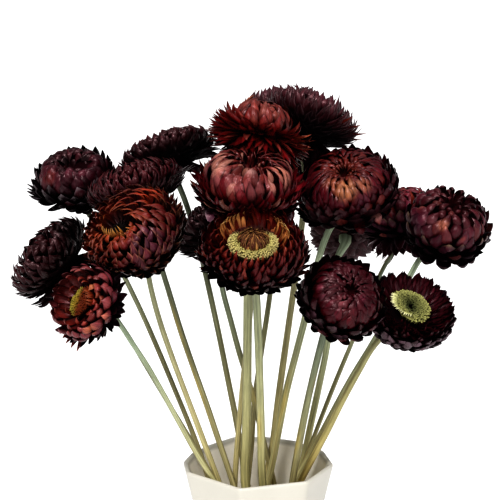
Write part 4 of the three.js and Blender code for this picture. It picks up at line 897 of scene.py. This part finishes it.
def core(c, n, R, a, lift=0.0, colour="14040a", top=.28, deep=.36):
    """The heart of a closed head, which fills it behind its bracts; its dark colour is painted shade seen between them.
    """
    n, ea, eb = frame_of(n)
    th = np.radians(np.linspace(-88, 88, 15))
    r = a * np.cos(th)
    h = lift + np.where(th < 0, deep + lift, top) * np.sin(th) - .57 * top * np.exp(-(r / .25) ** 2) * (th > 0)
    m = 40
    ph = np.arange(m) / m * 2 * np.pi
    wob = 1 + .03 * np.sin(13 * ph)[None, :] * np.cos(th)[:, None]
    er = np.cos(ph)[:, None] * ea + np.sin(ph)[:, None] * eb
    X = np.asarray(c, float) + R * ((r[:, None] * wob)[..., None] * er[None] + h[:, None, None] * n)
    i, j = np.meshgrid(np.arange(len(th) - 1), np.arange(m), indexing="ij")
    jn = (j + 1) % m
    quads = np.stack([i * m + j, i * m + jn, (i + 1) * m + jn, (i + 1) * m + j], -1).reshape(-1, 4)
    tint = np.broadcast_to(np.append(srgb(colour), 1.0), (len(th) * m, 4)).copy()
    arc = np.stack([ph[None, :] * R * r[:, None], R * th[:, None] + 0 * ph[None, :], 0 * th[:, None] + 0 * ph[None, :]], -1)
    uv = np.stack([np.broadcast_to(np.arange(m)[None, :] / m, (len(th), m)), np.broadcast_to(np.linspace(0, 1, len(th))[:, None], (len(th), m))], -1)
    return dict(verts=X.reshape(-1, 3) * MM, quads=quads, tint=tint, lay=arc.reshape(-1, 3), uv=uv.reshape(-1, 2), mat=1)


for i, f in FLOWERS.items():
    sp = dict(SPEC[i])
    rows, count, colour = sp.pop("rows"), sp.pop("count"), sp.pop("colour")
    extra = sp.pop("extra", [])
    r = f["r"] * sp.pop("size", 1.0)
    parts = [bracts(f["c"], f["n"], r, rows, count, 100 + i, colour, **sp)]
    parts.append(core(f["c"], f["n"], r, *CORE.get(i, (.80,))))
    for k, (single, look) in enumerate(extra):
        # the painted-shade bracts are set in the last layer, which gives them the matte material
        if look is P_DEEP:
            single = [(q[0], .96) + q[2:] for q in single]
        parts.append(bracts(f["c"], f["n"], r, None, 0, 700 + 20 * i + k, look, ns=12, nu=7, jit=.3, single=single,
                            push=sp.get("push", ()) if i in (4, 7) else ()))
    piece(f"head_{i:02d}_bracts", parts, [BRACT, MATTE], f"head_{i:02d}")


# ------------------------------------------------------------------ florets of an open head
def florets(c, n, r0, r1, z0, dome, count, seed, h, w, col_in, col_out, splay=0.2, sides=5, outline=None, hole=None, shift=(0, 0), painted_shade_side=None, throat_shade=.25):
    """Short tubes on a ring between radii r0 and r1, set by the golden angle, each with an open, toothed end."""
    rng = np.random.default_rng(seed)
    n, ea, eb = frame_of(n)
    k = np.arange(count)
    rr = np.sqrt(r0 ** 2 + (r1 ** 2 - r0 ** 2) * (k + 0.5) / count)
    ph = k * GOLDEN + rng.normal(0, 0.06, count)
    f = (rr - r0) / (r1 - r0)
    for shape, near_edge in ((outline, f ** 0.7), (hole, (1 - f) ** 2)):  # an edge's radius by picture direction
        if shape is None:
            continue
        q = sorted((math.atan2(clock(a) @ eb, clock(a) @ ea) % (2 * math.pi), v) for a, v in shape)
        qa, qv = np.array([x[0] for x in q]), np.array([x[1] for x in q])
        qa, qv = np.r_[qa[-1] - 2 * math.pi, qa, qa[0] + 2 * math.pi], np.r_[qv[-1], qv, qv[0]]
        rr = rr * (1 + (np.interp(ph % (2 * math.pi), qa, qv) - 1) * near_edge)
    zz = z0 + dome * np.sin(np.pi * np.clip(f, 0, 1) * 0.85 + 0.3)
    tilt = (f - 0.45) * splay * 2 + rng.normal(0, 0.1, count)
    side = rng.normal(0, 0.1, count)
    hh = h * rng.uniform(0.75, 1.2, count)
    er = np.cos(ph)[:, None] * ea + np.sin(ph)[:, None] * eb
    ep = -np.sin(ph)[:, None] * ea + np.cos(ph)[:, None] * eb
    d = er * np.sin(tilt)[:, None] + ep * np.sin(side)[:, None] + n * np.cos(tilt)[:, None]
    base = np.asarray(c, float) + er * rr[:, None] + n * zz[:, None]
    for toward, mm in zip((clock(0), clock(90)), shift):
        base = base + unit(toward - n * (toward @ n)) * mm
    prof = np.array([(0, .55), (.45, .6), (.8, .8), (1.0, 1.15), (1.02, .5), (.75, .25)])
    a = np.arange(sides) / sides * 2 * np.pi
    ring = np.cos(a)[None, :, None] * er[:, None, :] + np.sin(a)[None, :, None] * ep[:, None, :]
    X = []
    for lev, rad in prof:
        teeth = 1 + (0.25 * np.cos(a * 5)[None, :, None] if lev >= 1 else 0)
        X.append(base[:, None, :] + d[:, None, :] * (lev * hh)[:, None, None] + ring * (rad * w / 2) * teeth)
    X = np.stack(X, 1)
    L = len(prof)
    verts = X.reshape(-1, 3) * MM
    j = np.arange(sides)
    jn = (j + 1) % sides
    q = np.concatenate([np.stack([l * sides + j, l * sides + jn, (l + 1) * sides + jn, (l + 1) * sides + j], 1) for l in range(L - 1)])
    quads = (np.arange(count)[:, None, None] * (L * sides) + q[None]).reshape(-1, 4)
    lv = np.broadcast_to(prof[:, 0][None, :, None], (count, L, sides))
    F = np.broadcast_to(f[:, None, None], (count, L, sides))
    RN = np.broadcast_to(rng.uniform(0, 1, count)[:, None, None], (count, L, sides))
    col = col_in[None, None, None] * (1 - F)[..., None] + col_out[None, None, None] * F[..., None]
    if painted_shade_side is not None:  # painted shade on one side
        g = smooth(er @ unit(painted_shade_side[0] - n * (painted_shade_side[0] @ n)) * (rr / r1), painted_shade_side[2], painted_shade_side[3])[:, None, None, None]
        col = col * (1 - g) + painted_shade_side[1] * g
    # the open throat is darkened as painted shade, and each tube darkens toward its foot, painted shade among its
    # neighbours
    dark = np.where(np.arange(L) == L - 1, throat_shade, 1.0)[None, :, None]
    col = col * ((0.45 + 0.55 * lv) * (0.7 + 0.6 * RN) * dark)[..., None]
    tint = np.concatenate([col, np.ones(col.shape[:-1] + (1,))], -1)
    lay = np.stack([lv * hh[:, None, None], np.broadcast_to(j[None, None, :] * 0.3, lv.shape), RN * 60], -1)
    cols = int(math.ceil(math.sqrt(count)))
    uvx = ((k % cols)[:, None, None] + 0.05 + 0.9 * np.minimum(j, sides - 1)[None, None, :] / sides + 0 * lv) / cols
    uvy = ((k // cols)[:, None, None] + 0.05 + 0.9 * np.arange(L)[None, :, None] / L + 0 * lv) / cols
    return dict(verts=verts, quads=quads, tint=tint.reshape(-1, 4), lay=lay.reshape(-1, 3),
                uv=np.stack([uvx, uvy], -1).reshape(-1, 2))


TUFT = [
    (0.0, (.02, .20, .04, .30, .06, .40, .01, .42), .030, 1.3, .24),
    (0.5, (.14, .12, .24, .22, .24, .38, .07, .42), .042, 1.4, .26),
    (1.0, (.24, .10, .35, .18, .36, .34, .18, .41), .050, 1.4, .26),
]
P_TUFT = paint([(0, "1c0404", "34080a", "501410"), (.6, "180304", "380a0a", "4c1410"), (1, "988848", "400c0c", "3c0a0a")],
                edge="c8a060", edge_from=.74, edge_amount=.34, odd=("b88850", .16, .7))
for i, d in DISC_SPEC.items():
    f = FLOWERS[i]
    r = f["r"]
    parts = [florets(f["c"], f["n"], d["r0"] * r, d["r1"] * r, 0.10 * r, 0.07 * r, d["count"], 300 + i, d["h"], d["w"], d["cin"], d["cout"],
                     outline=d.get("outline"), hole=d.get("hole"), shift=d.get("shift", (0, 0)), painted_shade_side=d.get("painted_shade_side"), throat_shade=d.get("throat_shade", .25))]
    if i == 10:
        parts.append(bracts(f["c"], f["n"], r, TUFT, 150, 340 + i, P_TUFT, ns=8, nu=4))
    piece(f"disc_{i:02d}_florets", parts, [FLORET, FLORET], f"disc_{i:02d}")


# ------------------------------------------------------------------ stems
def catmull(points, per=8):
    """The centripetal curve through the points, as the CAD model has it."""
    p = np.asarray(points, float)
    p = np.vstack([2 * p[0] - p[1], p, 2 * p[-1] - p[-2]])
    out = []
    for k in range(1, len(p) - 2):
        p0, p1, p2, p3 = p[k - 1:k + 3]
        t0 = 0.0
        t1 = t0 + np.linalg.norm(p1 - p0) ** 0.5
        t2 = t1 + np.linalg.norm(p2 - p1) ** 0.5
        t3 = t2 + np.linalg.norm(p3 - p2) ** 0.5
        for t in np.linspace(t1, t2, per, endpoint=False):
            a1 = (t1 - t) / (t1 - t0) * p0 + (t - t0) / (t1 - t0) * p1
            a2 = (t2 - t) / (t2 - t1) * p1 + (t - t1) / (t2 - t1) * p2
            a3 = (t3 - t) / (t3 - t2) * p2 + (t - t2) / (t3 - t2) * p3
            b1 = (t2 - t) / (t2 - t0) * a1 + (t - t0) / (t2 - t0) * a2
            b2 = (t3 - t) / (t3 - t1) * a2 + (t - t1) / (t3 - t1) * a3
            out.append((t2 - t) / (t2 - t1) * b1 + (t - t1) / (t2 - t1) * b2)
    out.append(p[-2])
    return np.array(out)


GREEN, SAGE, TAN, STRAWTAN, BROWN = srgb("5f7256"), srgb("7d8460"), srgb("9d9463"), srgb("c1a85a"), srgb("6b5426")
STEM_TONE = {1: "dark", 2: "dark", 3: "dark", 4: "tan", 5: "dark", 6: "sage", 7: "tan", 8: "tan", 9: "pale", 10: "pale",
             11: "sage", 12: "sage", 13: "dark", 14: "dark", 15: "gold", 16: "dark", 17: "sage", 18: "dark"}
TONES = {  # under the head, middle, at the mouth
    "dark": (srgb("727a66"), srgb("848262"), srgb("988e66")),
    "sage": (srgb("98a48a"), srgb("a8a884"), srgb("b8b080")),
    "tan": (srgb("9c9d7c"), srgb("aca47c"), srgb("b0a474")),
    "pale": (srgb("94987a"), srgb("a3a17a"), srgb("aca474")),
    "gold": (srgb("a09c74"), srgb("aea472"), srgb("b29e62")),
}


def stem_piece(i, f):
    rng = np.random.default_rng(500 + i)
    n = np.asarray(f["n"], float)
    n /= np.linalg.norm(n)
    pts = [np.asarray(f["path"][0]) + n * (0.20 * f["r"])] + [np.asarray(q) for q in f["path"]]
    line = catmull(pts, 7)
    seg = np.r_[0, np.cumsum(np.linalg.norm(np.diff(line, axis=0), axis=1))]
    m = 90
    # closer rings under the head
    q = np.linspace(0, 1, m) ** 1.25 * seg[-1]
    X = np.stack([np.interp(q, seg, line[:, j]) for j in range(3)], 1)
    T = np.gradient(X, axis=0)
    T /= np.linalg.norm(T, axis=1, keepdims=True)
    N = np.zeros_like(T)
    a = np.cross(T[0], (0, 1, 0.3))
    N[0] = a / np.linalg.norm(a)
    for k in range(1, m):
        v = N[k - 1] - T[k] * np.dot(N[k - 1], T[k])
        N[k] = v / np.linalg.norm(v)
    Bn = np.cross(T, N)
    sides = 16
    ang = np.arange(sides) / sides * 2 * np.pi
    ridges = int(rng.integers(5, 8))
    phase = rng.uniform(0, 6.28) + np.cumsum(rng.normal(0, 0.01, m))
    r = f["s"] * (1.0 + 0.02 * np.sin(q / 23 + rng.uniform(0, 6)) + 0.02 * np.sin(q / 9 + rng.uniform(0, 6)))
    r = r * np.interp(q, [0, 60, seg[-1]], [0.92, 0.97, 1.03])
    wide, reach = (1.3, 4.2) if i in (9, 11, 17) else (1.0, 2.6)
    flare = 1 + wide * np.exp(-np.maximum(q - 0.20 * f["r"] + 0.5, 0) / reach)
    r = r * flare
    groove = 1 - 0.10 * (0.5 - 0.5 * np.cos(ridges * (ang[None, :] + phase[:, None]))) ** 2
    flat = 1 - 0.06 * np.cos(2 * (ang[None, :] + 0.4 * phase[:, None]))
    rad = r[:, None] * groove * flat
    V = X[:, None, :] + rad[..., None] * (np.cos(ang)[None, :, None] * N[:, None, :] + np.sin(ang)[None, :, None] * Bn[:, None, :])
    caps = np.stack([X[0], X[-1]])
    verts = np.concatenate([V.reshape(-1, 3), caps]) * MM
    j = np.arange(sides)
    jn = (j + 1) % sides
    k = np.arange(m - 1)[:, None] * sides
    quads = np.stack([k + j, k + jn, k + sides + jn, k + sides + j], -1).reshape(-1, 4)
    c0, c1 = m * sides, m * sides + 1
    tris = np.concatenate([np.stack([np.full(sides, c0), jn, j], 1),
                           np.stack([np.full(sides, c1), (m - 1) * sides + j, (m - 1) * sides + jn], 1)])
    top, midc, low = TONES[STEM_TONE[i]]
    zz = X[:, 2]
    fr = np.clip((zz - 140) / (FLOWERS[i]["c"][2] - 155), 0, 1)
    colr = np.stack([np.interp(fr, [0, .45, .9, 1], [low[c], midc[c], top[c], top[c] * 0.9]) for c in range(3)], -1)
    # below the mouth the stems darken toward the bottom of the vase
    colr = np.where((zz < 140)[:, None], low * np.interp(zz, [0, 140], [0.8, 1.0])[:, None], colr)
    # the colour darkens in the grooves between the ridges
    gl = (0.5 - 0.5 * np.cos(ridges * (ang[None, :] + phase[:, None]))) ** 2
    tint = colr[:, None, :] * (1.12 - 0.38 * gl)[..., None]
    # a few brown scars and tan streaks
    for _ in range(5):
        qa, aa, ll = rng.uniform(30, seg[-1]), rng.uniform(0, 6.28), rng.uniform(4, 22)
        d = np.exp(-((q[:, None] - qa) / ll) ** 2 - (np.angle(np.exp(1j * (ang[None, :] - aa))) / 0.6) ** 2)
        mixc = BROWN if rng.uniform() < 0.4 else STRAWTAN
        tint = tint * (1 - 0.5 * d[..., None]) + mixc * 0.5 * d[..., None]
    tint = np.concatenate([tint.reshape(-1, 3), np.stack([tint[0].mean(0), STRAWTAN * 0.8])])
    tint = np.concatenate([tint, np.ones((len(tint), 1))], 1)
    around = ang[None, :] * f["s"] + 0 * q[:, None]
    # fibres run on over the seam, so they follow the round section
    lay = np.stack([np.cos(ang)[None, :] * f["s"] * 2 + 0 * q[:, None], q[:, None] + 0 * around,
                    np.sin(ang)[None, :] * f["s"] * 2 + 0 * q[:, None] + 37.0 * i], -1)
    lay = np.concatenate([lay.reshape(-1, 3), np.array([[0, 0, 37.0 * i], [0, q[-1], 37.0 * i]])])
    return mesh_object(f"stem_{i:02d}_fibres", verts, quads, tris, point=dict(tint=tint, lay=lay), mats=[STEM])


for i, f in FLOWERS.items():
    ob = stem_piece(i, f)
    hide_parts(f"stem_{i:02d}")
    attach(ob, "root")


# ------------------------------------------------------------------ the vase
CORNERS = [(-156, 38.6), (-103, 39.8), (-50, 37.6), (-7, 37.6), (24, 36.4), (58, 35.6), (84, 36.4), (109, 38.0),
           (136, 34.6), (161, 35.6), (181, 37.2)]
MOUTH_MEAN = 37.0
PROFILE = [(0, 31.5), (3, 33.2), (12, 35.6), (26, 37.2), (42, 37.3), (58, 36.0), (75, 33.6), (90, 31.0), (104, 29.6),
           (118, 30.4), (131, 32.8), (142, 35.2), (150, 37.0)]
WALL = 3.2


def corner_radius(z):
    zs, rs = zip(*PROFILE)
    return float(np.interp(z, zs, rs))


def outline(z, inset, soften):
    """One turn of the vase at height z: straight panels, and corners rounded over soften millimetres."""
    t = min(max((z - 40) / 110.0, 0), 1)
    w = 0.25 + 0.75 * t * t * (3 - 2 * t)
    r = corner_radius(z)
    pts = []
    for a, rm in CORNERS:
        rr = r * (1 + (rm / MOUTH_MEAN - 1) * w) - inset
        pts.append((rr * math.cos(math.radians(a)), rr * math.sin(math.radians(a))))
    pts = np.array(pts)
    out = []
    m = len(pts)
    for k in range(m):
        p, a, b = pts[k], pts[k - 1], pts[(k + 1) % m]
        da, db = (a - p) / np.linalg.norm(a - p), (b - p) / np.linalg.norm(b - p)
        la = min(soften, np.linalg.norm(a - p) * 0.4)
        lb = min(soften, np.linalg.norm(b - p) * 0.4)
        s, e = p + da * la, p + db * lb
        for q in np.linspace(0, 1, 5):
            out.append((1 - q) ** 2 * s + 2 * q * (1 - q) * p + q * q * e)
        nxt = b + (p - b) / np.linalg.norm(p - b) * min(soften, np.linalg.norm(b - p) * 0.4)
        for q in np.linspace(0, 1, 6)[1:-1]:
            out.append(e * (1 - q) + nxt * q)
    return np.array(out)


def vase():
    rings = []
    H, lip = 150.0, 2.6
    for z, inset in ((0.0, 1.6), (0.15, 0.7), (0.7, 0.15), (1.6, 0.0)):
        rings.append((z, inset, 2.2, 0))
    for z in np.r_[3:147:2.4, 147.5]:
        rings.append((z, 0.0, 2.0, 0))
    for q in np.linspace(0.0, 1.0, 7):
        a = q * math.pi
        rings.append((H - 1.3 + 1.3 * math.sin(a), 1.3 - 1.3 * math.cos(a), 1.8, 0))
    for z in np.r_[147:8:-3.0]:
        rings.append((z, 2.6 + 0.6 * min(1, (147 - z) / 8), 2.4, 1))
    rings += [(7.0, 3.5, 3.0, 1), (5.6, 4.4, 4.0, 1), (5.05, 6.2, 5.0, 1)]
    V, tint = [], []
    # the outside is the cream glaze; the inside is painted lighter and warmer, painted light in the hollow
    cream, hollow_painted_light = srgb("c5c1b6"), srgb("fef8ec")
    for z, inset, soft, side in rings:
        o = outline(z, inset, soft)
        V.append(np.column_stack([o, np.full(len(o), z)]))
        c = cream if side == 0 else hollow_painted_light
        tint.append(np.tile(np.r_[c, 1.0], (len(o), 1)))
    n = len(V[0])
    m = len(V)
    verts = np.concatenate(V + [np.array([[0, 0, 0.0], [0, 0, 5.05]])]) * MM
    tint = np.concatenate(tint + [np.array([np.r_[cream, 1], np.r_[hollow_painted_light, 1]])])
    j = np.arange(n)
    jn = (j + 1) % n
    k = np.arange(m - 1)[:, None] * n
    quads = np.stack([k + j, k + jn, k + n + jn, k + n + j], -1).reshape(-1, 4)
    tris = np.concatenate([np.stack([np.full(n, m * n), jn, j], 1), np.stack([np.full(n, m * n + 1), (m - 1) * n + j, (m - 1) * n + jn], 1)])
    ob = mesh_object("vase_glazed", verts, quads, tris, point=dict(tint=tint), mats=[GLAZE])
    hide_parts("vase")
    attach(ob, "root")


vase()


# ------------------------------------------------------------------ floor, light and camera
def floor():
    m, nt, p = new_material("floor_pale")
    tc = nt.nodes.new("ShaderNodeTexCoord")
    g = noise(nt, tc.outputs["Object"], 3.0, 2.0, 0.5)
    c = nt.nodes.new("ShaderNodeMapRange")
    c.inputs["To Min"].default_value = 0.90
    c.inputs["To Max"].default_value = 0.93
    nt.links.new(g, c.inputs["Value"])
    nt.links.new(c.outputs["Result"], p.inputs["Base Color"])
    p.inputs["Roughness"].default_value = 0.95
    p.inputs["Specular IOR Level"].default_value = 0.1
    bpy.ops.mesh.primitive_plane_add(size=40, location=(0, 0, 0))
    ob = bpy.context.object
    ob.name = "floor"
    ob.data.materials.append(m)


floor()


def sun(name, toward, strength, angle, colour=(1, 1, 1)):
    """A distant soft light that shines along toward."""
    d = bpy.data.lights.new(name, "SUN")
    d.energy = strength
    d.angle = math.radians(angle)
    d.color = colour
    ob = bpy.data.objects.new(name, d)
    bpy.context.scene.collection.objects.link(ob)
    from mathutils import Vector
    ob.rotation_euler = Vector(toward).to_track_quat("-Z", "Y").to_euler()
    return ob


sun("key", (0.28, 0.80, -1.0), 2.5, 18)
sun("top", (-0.05, -0.2, -1.0), 0.6, 30)
sun("fill", (-0.55, 1.0, -0.42), 0.68, 40)

world = bpy.data.worlds.new("studio")
bpy.context.scene.world = world
world.use_nodes = True
bg = world.node_tree.nodes["Background"]
bg.inputs["Color"].default_value = (1.0, 1.0, 1.0, 1.0)
bg.inputs["Strength"].default_value = 0.24

bpy.context.scene.view_settings.view_transform = "Standard"
bpy.context.scene.view_settings.look = "High Contrast"

PITCH = math.radians(14.6)
DIST = 1.0
TARGET = (-0.004, 0.0, 0.150 + 0.1074)
cam = bpy.data.cameras.new("camera")
cam.lens = 150.0
cam.sensor_width = 36.0
cam.clip_start = 0.01
cam.clip_end = 100.0
camera = bpy.data.objects.new("camera", cam)
bpy.context.scene.collection.objects.link(camera)
camera.location = (TARGET[0], TARGET[1] - DIST * math.cos(PITCH), TARGET[2] + DIST * math.sin(PITCH))
camera.rotation_euler = (math.pi / 2 - PITCH, 0.0, 0.0)
bpy.context.scene.camera = camera
